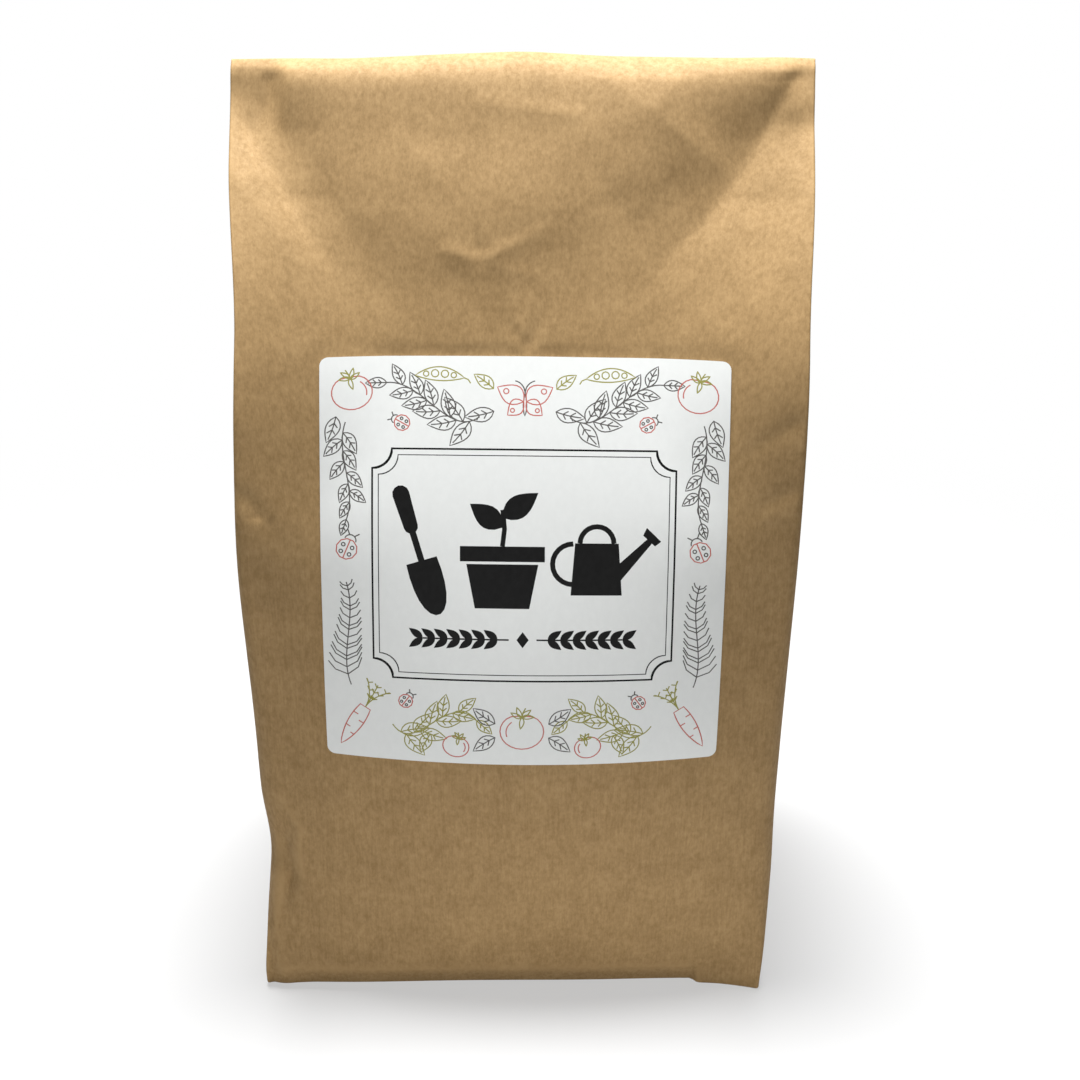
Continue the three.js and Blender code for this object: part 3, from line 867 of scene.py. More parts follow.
def make_kraft_bag(sizes, finishes):
    form = BagForm(sizes)
    grid, wear = ring_grid(form)
    rows, size = grid.shape[:2]
    panel = FLAT_COLUMNS + 2 * CORNER_COLUMNS
    base_points, base_quads = end_sheet(grid[0], panel, GUSSET_COLUMNS, base_fold_height(form))
    top_points, top_quads = end_sheet(grid[-1], panel, GUSSET_COLUMNS, lambda x, y: 0.0)
    body = grid.reshape(-1, 3)
    base_quads = np.where(base_quads < size, base_quads, base_quads - size + len(body))[:, ::-1]
    top_start = len(body) + len(base_points)
    top_quads = np.where(top_quads < size, top_quads + (rows - 1) * size, top_quads - size + top_start)
    points = np.concatenate([body, base_points, top_points])
    faces = np.concatenate([ring_faces(rows, size), base_quads, top_quads])
    piece = mesh_object("kraft_paper_bag", points.tolist(), faces.tolist(), [kraft_material(finishes)])
    piece.data.set_sharp_from_angle(angle=SHARP_FOLD)
    # Attribute of the paper's bend: ridges wear pale, valleys get painted shade
    worn = piece.data.attributes.new("wear", "FLOAT", "POINT")
    values = np.zeros(len(points), np.float32)
    values[: len(body)] = wear.ravel()
    worn.data.foreach_set("value", values)
    return piece


# Print on the label: leafy branches and garden crops around a frame that holds three garden tools
INKS = ("paper", "black", "grey", "red", "olive")
ARC_STEPS = 10
CORNER_STEPS = 6
SCOOP_STEPS = 8
HANDLE_STEPS = 12
LEAF_STEPS = 9
STEM_STEPS = 28
LABEL_GRID = 0.003
TO_MM = 1000.0
MERGE_WITHIN_MM = 1e-4
UP = math.pi / 2
QUARTERS = ((1, 1), (-1, 1), (-1, -1), (1, -1))

# Leaves along a branch, as shares of the stem and turns from it
FIRST_LEAF = 0.1
LEAF_RUN = 0.82
LEAF_SPLAY = 0.85
LEAF_SWING = 0.2
LEAF_BEND = 0.16
TIP_LEAF = 0.7
GOLDEN_TURN = 2.4
FERN_RUN = (0.12, 0.97)


class Print:
    """Polygons of ink on the flat label, with the middle of the label at the origin."""

    def __init__(self, line):
        self.line = line
        self.sides = (1,)
        self.points = []
        self.faces = []
        self.inks = []

    def fill(self, outline, ink):
        """One polygon, and its mirror image where the print is the same on both sides."""
        for side in self.sides:
            corners = filled_between(np.asarray(outline, float) * (side, 1), LABEL_GRID)
            ahead = np.roll(corners, -1, axis=0)
            turned = np.sum(corners[:, 0] * ahead[:, 1] - corners[:, 1] * ahead[:, 0]) < 0
            start = len(self.points)
            self.points.extend(corners[::-1] if turned else corners)
            self.faces.append(list(range(start, start + len(corners))))
            self.inks.append(INKS.index(ink))

    def stroke(self, path, ink, closed=False, width=None):
        """A line of even width, as one quad for each step of its path."""
        path = np.asarray(path, float)
        ahead = np.roll(path, -1, axis=0) - path
        behind = path - np.roll(path, 1, axis=0)
        if not closed:
            ahead[-1] = behind[-1]
            behind[0] = ahead[0]
        along = ahead / np.linalg.norm(ahead, axis=1)[:, None]
        along = along + behind / np.linalg.norm(behind, axis=1)[:, None]
        along = along / np.maximum(np.linalg.norm(along, axis=1), TINY)[:, None]
        side = np.stack([-along[:, 1], along[:, 0]], axis=-1) * (width or self.line) / 2
        for i in range(len(path) if closed else len(path) - 1):
            j = (i + 1) % len(path)
            self.fill([path[i] + side[i], path[i] - side[i], path[j] - side[j], path[j] + side[j]], ink)

    def draw(self, paths, place, turn, size=1.0):
        """Strokes that grow along +y, scaled to a size, turned to grow another way and put in place."""
        for path, closed, ink in paths:
            self.stroke(placed(path, place, turn, size), ink, closed)


def arc(middle, radius, start, end, steps=ARC_STEPS):
    turns = np.linspace(start, end, steps + 1)
    return np.stack([middle[0] + radius * np.cos(turns), middle[1] + radius * np.sin(turns)], axis=-1)


def placed(path, place, turn=UP, scale=1.0):
    path = np.asarray(path, float) * scale
    c, s = math.cos(turn - UP), math.sin(turn - UP)
    return path @ np.array([[c, s], [-s, c]]) + np.asarray(place)


def curve(ends, pulls, steps=STEM_STEPS):
    """A smooth line between two ends, drawn towards two points on its way."""
    t = np.linspace(0, 1, steps)[:, None]
    (a, d), (b, c) = np.asarray(ends), np.asarray(pulls)
    return a * (1 - t) ** 3 + 3 * b * t * (1 - t) ** 2 + 3 * c * t**2 * (1 - t) + d * t**3


def leaf_outline(long, wide, bend):
    t = np.linspace(0, 1, LEAF_STEPS)
    rib = long * np.stack([bend * t**2, t], axis=-1)
    half = np.stack([wide / 2 * np.sin(math.pi * t**0.8), np.zeros_like(t)], axis=-1)
    return rib, np.concatenate([rib + half, (rib - half)[-2:0:-1]])


def ring(middle, radius):
    return arc(middle, radius, 0, 2 * math.pi)[:-1]


def leaf_paths(ink, long, wide, bend=0.0):
    """A leaf with its rib and a few veins."""
    rib, outline = leaf_outline(long, wide, bend)
    paths = [(outline, True, ink), (rib[:-1], False, ink)]
    for k in (2, 4):
        for side in (-1, 1):
            paths.append(([rib[k], rib[k + 1] + (side * wide * 0.3, 0.02 * long)], False, ink))
    return paths


def tomato_paths():
    """A round fruit with a star of sepals and a stalk, in units of its radius."""
    t = np.linspace(0, 2 * math.pi, 25)[:-1]
    dip = 1 - 0.16 * bump(t, UP, 0.4)
    paths = [(np.stack([1.08 * dip * np.cos(t), 0.95 * dip * np.sin(t)], axis=-1), True, "red")]
    paths.append((arc((-0.1, -0.05), 0.68, 2.2, 3.5), False, "red"))
    top = (0.0, 0.74)
    for turn in (0.25, 0.95, 2.2, 2.9, -1.5):
        paths.append((placed(leaf_outline(0.6, 0.22, 0.2)[1], top, turn), True, "olive"))
    paths.append(([top, (0.05, 1.0), (0.18, 1.25)], False, "olive"))
    return paths


def carrot_paths():
    """A tapering root that grows downwards, and three feathery tops, in units of the root's length."""
    t = np.linspace(0, 1, 10)
    half = 0.15 * np.sin(math.pi * (0.25 + 0.75 * t)) ** 0.8
    right = np.stack([half, -t], axis=-1)
    paths = [(np.concatenate([right, (right * (-1, 1))[-2::-1]]), True, "red")]
    for k, side in ((2, 1), (3, -1), (5, 1), (6, -1)):
        paths.append(([right[k] * (side, 1), right[k] * (side * 0.25, 1)], False, "red"))
    for lean in (-0.5, 0.05, 0.55):
        stem = curve(((0, 0), (0.5 * lean, 0.55)), ((0, 0.2), (0.2 * lean, 0.4)), 9)
        paths.append((stem, False, "olive"))
        for k in (3, 5, 7):
            for side in (-1, 1):
                paths.append(([stem[k], stem[k] + (side * 0.075, 0.06)], False, "olive"))
    return paths


def pod_paths():
    """A pod with round peas in it, in units of its length."""
    t = np.linspace(-1, 1, 15)
    under = np.stack([-0.2 * (1 - t**2), 0.5 * (1 + t)], axis=-1)
    over = np.stack([0.08 * (1 - t**2), 0.5 * (1 + t)], axis=-1)
    paths = [(np.concatenate([under, over[-2:0:-1]]), True, "olive")]
    for at, radius in ((0.22, 0.055), (0.4, 0.075), (0.6, 0.075), (0.78, 0.055)):
        paths.append((ring((-0.26 * at * (1 - at), at), radius), True, "olive"))
    paths.append(([(0, 0), (0.03, -0.08), (0.1, -0.13)], False, "olive"))
    return paths


def butterfly_paths(ink):
    """Two pairs of wings with a spot in each, a body and feelers, in units of the body's height."""
    paths = [(leaf_outline(0.9, 0.13, 0)[1] - (0, 0.5), True, "grey")]
    for side in (-1, 1):
        start = (side * 0.05, 0.05)
        for reach, wide, lean in ((1.15, 0.78, 0.95), (0.8, 0.6, 2.15)):
            turn = UP - side * lean
            wing = leaf_outline(reach, wide, side * 0.12)[1]
            paths.append((placed(wing, start, turn), True, ink))
            spot = placed([(side * 0.06 * reach, 0.68 * reach)], start, turn)[0]
            paths.append((ring(spot, 0.13 * wide), True, ink))
        feeler = curve(((0, 0.35), (side * 0.38, 0.85)), ((0, 0.6), (side * 0.15, 0.8)), 8)
        paths.append((feeler, False, "grey"))
    return paths


def beetle_paths():
    """A round spotted beetle, in units of its radius."""
    paths = [(ring((0, 0), 1), True, "red"), ([(0, -1), (0, 1)], False, "red")]
    for side in (-1, 1):
        for across, up in ((0.45, 0.3), (0.42, -0.4)):
            paths.append((ring((side * across, up), 0.17), True, "grey"))
        paths.append(([(side * 0.25, 1.4), (side * 0.6, 1.8)], False, "grey"))
    paths.append((arc((0, 0.9), 0.55, 0.05, math.pi - 0.05), False, "grey"))
    return paths


def draw_branch(art, ends, pulls, leaves, size, ink):
    """A stem with leaves by turns on its two sides, smaller towards its tip."""
    stem = curve(ends, pulls)
    along = np.gradient(stem, axis=0)
    art.stroke(stem, ink)
    for i in range(leaves):
        at = FIRST_LEAF + LEAF_RUN * i / leaves
        k = round(at * (STEM_STEPS - 1))
        side = 1 if i % 2 else -1
        splay = LEAF_SPLAY + LEAF_SWING * math.sin(GOLDEN_TURN * i)
        turn = math.atan2(along[k, 1], along[k, 0]) + side * splay
        long = size[0] * (1.05 - 0.35 * at)
        art.draw(leaf_paths(ink, long, size[1] * long / size[0], side * LEAF_BEND), stem[k], turn)
    turn = math.atan2(along[-1, 1], along[-1, 0])
    art.draw(leaf_paths(ink, TIP_LEAF * size[0], TIP_LEAF * size[1]), stem[-1], turn)


def draw_fern(art, ends, pulls, fronds, reach, ink):
    """A stem with pairs of thin fronds, shorter towards its tip."""
    stem = curve(ends, pulls)
    along = np.gradient(stem, axis=0)
    art.stroke(stem, ink)
    for at in np.linspace(*FERN_RUN, fronds):
        k = round(at * (STEM_STEPS - 1))
        turn = math.atan2(along[k, 1], along[k, 0])
        long = reach * (1.1 - 0.75 * at)
        for side in (-1, 1):
            frond = [(0, 0), (side * 0.55 * long, 0.3 * long), (side * 0.8 * long, 0.75 * long)]
            art.stroke(placed(frond, stem[k], turn), ink)


class Branch(NamedTuple):
    """A leafy branch: its two ends, the points that its stem is drawn towards, its leaves and its ink."""

    ends: tuple
    pulls: tuple
    leaves: int
    leaf_size: tuple
    ink: str


class Motif(NamedTuple):
    """A drawing in the border: its strokes, its place, the way that it grows and its size."""

    paths: list
    place: tuple
    turn: float
    size: float = 1.0


LONG_LEAF = (0.0108, 0.0054)
SMALL_LEAF = (0.0088, 0.0046)
BRANCHES = (
    Branch(((0.016, 0.0535), (0.049, 0.0655)), ((0.027, 0.0455), (0.036, 0.0665)), 10, LONG_LEAF, "grey"),
    Branch(((0.0635, 0.0515), (0.0632, 0.0165)), ((0.0675, 0.04), (0.059, 0.0275)), 8, SMALL_LEAF, "grey"),
    Branch(
        ((0.0475, -0.0605), (0.0165, -0.0575)),
        ((0.039, -0.0735), (0.028, -0.0455)),
        9,
        LONG_LEAF,
        "olive",
    ),
)
FERN_ENDS = ((0.0625, -0.046), (0.0635, -0.0065))
FERN_PULLS = ((0.067, -0.034), (0.0595, -0.02))
FERN_FRONDS = 15
FERN_REACH = 0.0078
MOTIFS = (
    Motif(tomato_paths(), (0.0612, 0.0622), UP - 0.15, 0.0066),
    Motif(pod_paths(), (0.0215, 0.0672), 0.05, 0.0175),
    Motif(leaf_paths("olive", 0.0085, 0.0044, 0.12), (0.0112, 0.0635), 0.75),
    Motif(beetle_paths(), (0.0632, 0.0058), UP + 0.4, 0.0038),
    Motif(carrot_paths(), (0.0575, -0.0545), UP + 0.55, 0.0185),
    Motif(tomato_paths(), (0.0242, -0.068), UP + 0.3, 0.0045),
    Motif(beetle_paths(), (0.0435, 0.0512), 0.5, 0.0028),
    Motif(beetle_paths(), (0.0425, -0.051), 2.2, 0.0026),
    Motif(leaf_paths("grey", 0.0105, 0.0052, -0.15), (0.011, 0.0555), -0.35),
    Motif(leaf_paths("grey", 0.0098, 0.005, -0.15), (0.0668, 0.0535), 0.2 - UP),
    Motif(leaf_paths("grey", 0.0098, 0.005, 0.12), (0.0098, -0.064), -0.5),
    Motif(leaf_paths("grey", 0.0098, 0.005, -0.12), (0.0098, -0.0585), 0.5),
    Motif(leaf_paths("olive", 0.0085, 0.0044, 0.12), (0.0335, -0.0635), -1.0),
)
MIDDLE_MOTIFS = (
    Motif(butterfly_paths("red"), (0.0, 0.0585), UP, 0.0092),
    Motif(tomato_paths(), (0.0, -0.0615), UP, 0.0074),
)


def draw_border(art):
    """Branches, garden crops and insects, the same on the left and the right, and two in the middle."""
    art.sides = (1, -1)
    for branch in BRANCHES:
        draw_branch(art, *branch)
    draw_fern(art, FERN_ENDS, FERN_PULLS, FERN_FRONDS, FERN_REACH, "grey")
    for motif in MOTIFS:
        art.draw(*motif)
    art.sides = (1,)
    for motif in MIDDLE_MOTIFS:
        art.draw(*motif)


FRAME_HALF_WIDTH = 0.054
FRAME_HALF_HEIGHT = 0.042
FRAME_SCOOP = 0.007
FRAME_RULE = 0.0009
FRAME_GAP = 0.0022


def scooped_frame(half_wide, half_high, scoop):
    corners = []
    for quarter, (sx, sy) in enumerate(QUARTERS):
        start = math.pi * (1.5 + 0.5 * quarter)
        corners.append(arc((sx * half_wide, sy * half_high), scoop, start, start - UP, SCOOP_STEPS))
    return np.concatenate(corners)


def draw_frame(art):
    """A thick rule with a thin one inside it, both scooped out at their corners."""
    outer = scooped_frame(FRAME_HALF_WIDTH, FRAME_HALF_HEIGHT, FRAME_SCOOP)
    inner = scooped_frame(FRAME_HALF_WIDTH - FRAME_GAP, FRAME_HALF_HEIGHT - FRAME_GAP, FRAME_SCOOP)
    art.stroke(outer, "black", closed=True, width=FRAME_RULE)
    art.stroke(inner, "black", closed=True)


def draw_pot(art, middle, scale):
    """A seedling in a pot, in solid black."""
    body = [(-0.0085, -0.017), (0.0085, -0.017), (0.0112, -0.003), (-0.0112, -0.003)]
    rim = [(-0.0132, -0.0022), (0.0132, -0.0022), (0.0132, 0.0026), (-0.0132, 0.0026)]
    for outline in (body, rim):
        art.fill(placed(outline, middle, scale=scale), "black")
    stem = [(0.0, 0.0026), (0.0006, 0.008), (0.0, 0.014)]
    art.stroke(placed(stem, middle, scale=scale), "black", width=0.0015 * scale)
    for side, long, start in ((-1, 0.0125, 0.0085), (1, 0.0135, 0.0115)):
        turned = placed(leaf_outline(long, 0.0072, 0.0)[1], (0.0, start), UP - side * 0.95)
        art.fill(placed(turned, middle, scale=scale), "black")


def draw_trowel(art, middle, scale):
    """A hand trowel, leaning, in solid black."""
    t = np.linspace(0, math.pi, 14)
    blade = np.stack([0.0062 * np.cos(t) * (0.75 + 0.25 * np.sin(t)), -0.003 - 0.017 * np.sin(t)], axis=-1)
    neck = [(0.0, -0.004), (0.0, 0.006)]
    grip_top = arc((0, 0.0175), 0.0025, 0, math.pi, CORNER_STEPS)
    grip_end = arc((0, 0.0075), 0.0021, math.pi, 2 * math.pi, CORNER_STEPS)
    grip = np.concatenate([grip_top, grip_end])
    turn = UP + 0.3
    art.fill(placed(blade, middle, turn, scale), "black")
    art.stroke(placed(neck, middle, turn, scale), "black", width=0.0019 * scale)
    art.fill(placed(grip, middle, turn, scale), "black")


def draw_can(art, middle, scale):
    """A watering can, in solid black."""
    body = [(-0.0085, -0.0125), (0.0085, -0.0125), (0.0072, 0.005), (-0.0072, 0.005)]
    spout = [(0.0076, -0.008), (0.0182, 0.0052), (0.0166, 0.0066), (0.0072, -0.002)]
    rose = [(0.0152, 0.0078), (0.0192, 0.0042), (0.0212, 0.0058), (0.0164, 0.0104)]
    for outline in (body, spout, rose):
        art.fill(placed(outline, middle, scale=scale), "black")
    grip = arc((-0.0078, -0.002), 0.0068, UP, math.pi + UP, HANDLE_STEPS)
    hoop = arc((0.0, 0.005), 0.0056, 0.0, math.pi, HANDLE_STEPS)
    for line in (grip, hoop):
        art.stroke(placed(line, middle, scale=scale), "black", width=0.0017 * scale)


def draw_laurel(art, height, half_long, leaves):
    """A level stem each way from a diamond, with pairs of solid leaves."""
    art.sides = (1, -1)
    art.stroke([(0.005, height), (half_long, height)], "black", width=0.0006)
    for x in np.linspace(0.009, half_long, leaves):
        for side in (-1, 1):
            turned = placed(leaf_outline(0.0062, 0.0027, 0.0)[1], (x, height), side * 0.62)
            art.fill(turned, "black")
    art.sides = (1,)
    wide, high = 0.0022, 0.003
    art.fill([(wide, height), (0, height + high), (-wide, height), (0, height - high)], "black")


def rounded_outline(width, height, radius):
    outline = []
    for quarter, (sx, sy) in enumerate(QUARTERS):
        middle = (sx * (width / 2 - radius), sy * (height / 2 - radius))
        outline.append(arc(middle, radius, quarter * UP, (quarter + 1) * UP, CORNER_STEPS))
    return np.concatenate(outline)


def filled_between(outline, spacing):
    """The same closed line with more points along its straight runs."""
    points = []
    for a, b in zip(outline, np.roll(outline, -1, axis=0)):
        steps = max(1, round(float(np.linalg.norm(b - a)) / spacing))
        points.extend(a + (b - a) * i / steps for i in range(steps))
    return np.array(points)


def bare_label(sizes):
    art = Print(sizes.line)
    outline = rounded_outline(sizes.width, sizes.height, sizes.corner_radius)
    art.fill(outline, "paper")
    return art


# Garden tools in the frame: place of the middle and scale
TOOLS = (
    (draw_trowel, (-0.0375, 0.0055), 1.22),
    (draw_pot, (-0.0075, 0.0045), 1.15),
    (draw_can, (0.0262, 0.0035), 1.08),
)
LAUREL_HEIGHT = -0.0265
LAUREL_HALF_LENGTH = 0.036
LAUREL_LEAVES = 7


def printed_label(sizes):
    art = bare_label(sizes)
    draw_border(art)
    draw_frame(art)
    for draw_tool, middle, scale in TOOLS:
        draw_tool(art, middle, scale)
    draw_laurel(art, LAUREL_HEIGHT, LAUREL_HALF_LENGTH, LAUREL_LEAVES)
    return art


def label_triangles(art, sizes):
    """The label cut into triangles along every edge of its print: points, triangles and inks."""
    across = np.arange(-sizes.width / 2 + LABEL_GRID, sizes.width / 2 - LABEL_GRID / 2, LABEL_GRID)
    up = np.arange(-sizes.height / 2 + LABEL_GRID, sizes.height / 2 - LABEL_GRID / 2, LABEL_GRID)
    grid = [(x, y) for x in across for y in up]
    points = [Vector((x * TO_MM, y * TO_MM)) for x, y in [*art.points, *grid]]
    corners, _, faces, _, _, origins = delaunay_2d_cdt(points, [], art.faces, 0, MERGE_WITHIN_MM)
    flat = np.array([(p.x, p.y) for p in corners]) / TO_MM
    inside = [(tuple(face), max(origin)) for face, origin in zip(faces, origins) if origin]
    return flat, [face for face, _ in inside], [art.inks[topmost] for _, topmost in inside]


def rim_edges(triangles):
    """Edges that only one triangle has."""
    edges = {edge for a, b, c in triangles for edge in ((a, b), (b, c), (c, a))}
    return [(a, b) for a, b in edges if (b, a) not in edges]


FRONT_RUN = 0.2
FRONT_STEPS = 800
PROBE = 0.0005
SHARP_RIM = math.radians(40)


def height_along_front(form, across, start, lengths):
    """Heights reached by going the given lengths up the front from a starting height."""
    z = np.linspace(start, start + FRONT_RUN, FRONT_STEPS + 1)
    line = form.front(np.full_like(z, across), z, 0.0)
    gone = np.concatenate([[0], np.cumsum(np.linalg.norm(np.diff(line, axis=0), axis=1))])
    return np.interp(lengths, gone, z)


def laid_on_front(form, sizes, flat, stand_off):
    """Points of the flat label carried over to the front of the bag, a little way off its paper."""
    shift = (LABEL_LOW.x + LABEL_HIGH.x) / 2
    x = shift + flat[:, 0]
    z = height_along_front(form, shift, LABEL_LOW.z, flat[:, 1] + sizes.height / 2)
    across = form.front(x + PROBE, z, 0.0) - form.front(x - PROBE, z, 0.0)
    up = form.front(x, z + PROBE, 0.0) - form.front(x, z - PROBE, 0.0)
    normal = np.cross(across, up)
    normal = normal / np.linalg.norm(normal, axis=1)[:, None]
    return form.front(x, z, 0.0) + normal * stand_off


def make_front_label(bag_sizes, sizes, finishes):
    form = BagForm(bag_sizes)
    flat, triangles, inks = label_triangles(printed_label(sizes), sizes)
    flat_back, back_triangles, _ = label_triangles(bare_label(sizes), sizes)
    face = laid_on_front(form, sizes, flat, sizes.stand_off)
    back = laid_on_front(form, sizes, flat_back, sizes.stand_off - sizes.thickness)
    count = len(flat)
    rim = rim_edges(triangles)
    behind = {a: count + int(np.argmin(np.sum((flat_back - flat[a]) ** 2, axis=1))) for a, _ in rim}
    faces = list(triangles)
    faces += [tuple(count + i for i in reversed(triangle)) for triangle in back_triangles]
    faces += [(b, a, behind[a], behind[b]) for a, b in rim]
    inks = inks + [0] * (len(faces) - len(inks))
    materials = [label_paper_material(finishes)] + [ink_material(name, finishes) for name in INKS[1:]]
    piece = mesh_object("printed_front_label", np.concatenate([face, back]).tolist(), faces, materials)
    piece.data.polygons.foreach_set("material_index", np.array(inks, np.int32))
    piece.data.set_sharp_from_angle(angle=SHARP_RIM)
    return piece


# Materials
WHITE = (1.0, 1.0, 1.0, 1.0)

# Paper grain: shares of two streak textures, the spans that turn into masks, and the mottling's height
GRAIN_ROUGHNESS = 0.6
SHORT_FIBRES = 1.6
FLECK_FIBRES = 0.8
STREAK_SHARE = 0.5
MOTTLE_SPAN = (0.3, 0.7)
STREAK_SPAN = (0.32, 0.68)
FLECK_SPAN = (0.68, 0.78)
MOTTLE_HEIGHT = 0.35

# Kraft paper: grain scales, how much each texture darkens it, how ridges wear pale, and the painted shade
# that darkens the valleys of creases
KRAFT_FIBRE_SCALE = 1250.0
KRAFT_MOTTLE_SCALE = 520.0
KRAFT_CLOUD = {"Scale": 75.0, "Detail": 5.0, "Roughness": 0.62}
CLOUD_SHADE = (0.3, 0.7, -0.2, 0.26)
MOTTLE_SHADE = 0.62
STREAK_SHADE = 0.5
FLECK_SHADE = 0.4
KRAFT_EVENNESS = 0.3
RIDGE_WEAR = (0.25, 1.4, 0.0, 0.55)
RIDGE_STREAK = (0.0, 1.0, 0.5, 1.0)
# Painted shade in the valleys of creases: how deep a valley must be to darken, and how far towards the
# kraft shade colour
VALLEY_SHADE = (-1.6, -0.3, 0.4, 0.0)
KRAFT_ROUGHNESS = (0.0, 1.0, 0.66, 0.8)
KRAFT_SPECULAR = 0.2
KRAFT_BUMP = {"Strength": 0.16, "Distance": 0.0002}

# Label: grain scales, gloss, and how much of the white paper shows through each ink
LABEL_FIBRE_SCALE = 2400.0
LABEL_MOTTLE_SCALE = 420.0
LABEL_ROUGHNESS = (0.0, 1.0, 0.4, 0.52)
LABEL_SPECULAR = 0.07
LABEL_BUMP = {"Strength": 0.12, "Distance": 0.0001}
LABEL_SHADE = 0.965
LABEL_MOTTLE = 0.8
THIN_FROM = 0.2
INK_THIN = {"black": 0.004, "grey": 0.05, "red": 0.06, "olive": 0.06}


def add_node(tree, kind, inputs=None, **settings):
    """Adds a node, sets it up, and gives each named input a value or a link."""
    made = tree.nodes.new(kind)
    for name, value in settings.items():
        setattr(made, name, value)
    for key, value in (inputs or {}).items():
        if isinstance(value, bpy.types.NodeSocket):
            tree.links.new(value, made.inputs[key])
        else:
            made.inputs[key].default_value = value
    return made


def new_group(name, inputs, outputs):
    """An empty shader group with the given sockets; gives back its tree, entry and exit."""
    tree = bpy.data.node_groups.new(name, "ShaderNodeTree")
    for socket, kind, default in inputs:
        made = tree.interface.new_socket(socket, in_out="INPUT", socket_type=kind)
        if default is not None:
            made.default_value = default
    for socket, kind in outputs:
        tree.interface.new_socket(socket, in_out="OUTPUT", socket_type=kind)
    return tree, tree.nodes.new("NodeGroupInput"), tree.nodes.new("NodeGroupOutput")


def math_node(tree, operation, a, b=0.0, clamp=False):
    return add_node(tree, "ShaderNodeMath", {0: a, 1: b}, operation=operation, use_clamp=clamp).outputs[0]


def remap(tree, value, low, high, to_low, to_high):
    keys = {"Value": value, "From Min": low, "From Max": high, "To Min": to_low, "To Max": to_high}
    return add_node(tree, "ShaderNodeMapRange", keys, clamp=True).outputs[0]


def mix_colour(tree, factor, a, b):
    keys = {0: factor, 6: a, 7: b}
    return add_node(tree, "ShaderNodeMix", keys, data_type="RGBA").outputs[2]


def paper_grain_group():
    """Fibres of paper: broad mottling, streaks along the web, dark flecks, and the height of it all."""
    existing = bpy.data.node_groups.get("Paper grain")
    if existing:
        return existing
    tree, entry, leave = new_group(
        "Paper grain",
        [
            ("Vector", "NodeSocketVector", None),
            ("Fibre Scale", "NodeSocketFloat", 1400.0),
            ("Mottle Scale", "NodeSocketFloat", 160.0),
        ],
        [
            ("Mottle", "NodeSocketFloat"),
            ("Streak", "NodeSocketFloat"),
            ("Fleck", "NodeSocketFloat"),
            ("Height", "NodeSocketFloat"),
        ],
    )
    vector = entry.outputs["Vector"]
    fibre = entry.outputs["Fibre Scale"]

    def noise_of(stretch, scale, detail):
        """Noise drawn out along the web, which runs up the bag."""
        factors = {0: vector, 1: (1, 1, stretch)}
        along = add_node(tree, "ShaderNodeVectorMath", factors, operation="MULTIPLY").outputs[0]
        keys = {"Vector": along, "Scale": scale, "Detail": detail, "Roughness": GRAIN_ROUGHNESS}
        return add_node(tree, "ShaderNodeTexNoise", keys).outputs["Fac"]

    mottle = noise_of(0.7, entry.outputs["Mottle Scale"], 4.0)
    rib = noise_of(0.06, fibre, 1.0)
    short = noise_of(0.3, math_node(tree, "MULTIPLY", fibre, SHORT_FIBRES), 2.0)
    speck = noise_of(0.5, math_node(tree, "MULTIPLY", fibre, FLECK_FIBRES), 1.0)
    rib = math_node(tree, "MULTIPLY", rib, STREAK_SHARE)
    streak = math_node(tree, "ADD", rib, math_node(tree, "MULTIPLY", short, STREAK_SHARE))
    tree.links.new(remap(tree, mottle, *MOTTLE_SPAN, 0.0, 1.0), leave.inputs["Mottle"])
    tree.links.new(remap(tree, streak, *STREAK_SPAN, 0.0, 1.0), leave.inputs["Streak"])
    tree.links.new(remap(tree, speck, *FLECK_SPAN, 0.0, 1.0), leave.inputs["Fleck"])
    height = math_node(tree, "ADD", streak, math_node(tree, "MULTIPLY", mottle, MOTTLE_HEIGHT))
    tree.links.new(height, leave.inputs["Height"])
    return tree


def new_material(name):
    material = bpy.data.materials.new(name)
    material.use_nodes = True
    tree = material.node_tree
    tree.nodes.clear()
    shader = tree.nodes.new("ShaderNodeBsdfPrincipled")
    out = tree.nodes.new("ShaderNodeOutputMaterial")
    tree.links.new(shader.outputs["BSDF"], out.inputs["Surface"])
    where = tree.nodes.new("ShaderNodeTexCoord").outputs["Object"]
    return material, tree, shader, where


def place_grain(tree, where, fibre, mottle):
    keys = {"Vector": where, "Fibre Scale": fibre, "Mottle Scale": mottle}
    return add_node(tree, "ShaderNodeGroup", keys, node_tree=paper_grain_group())


def finish_paper(tree, shader, base, roughness, specular, bump_settings, height):
    """Gives the shader its colour and roughness, an even gloss and the fine relief of the grain."""
    tree.links.new(base, shader.inputs["Base Color"])
    tree.links.new(roughness, shader.inputs["Roughness"])
    shader.inputs["Specular IOR Level"].default_value = specular
    relief = add_node(tree, "ShaderNodeBump", {**bump_settings, "Height": height})
    tree.links.new(relief.outputs["Normal"], shader.inputs["Normal"])


def rgba(colour_value):
    return (*colour_value, 1.0)


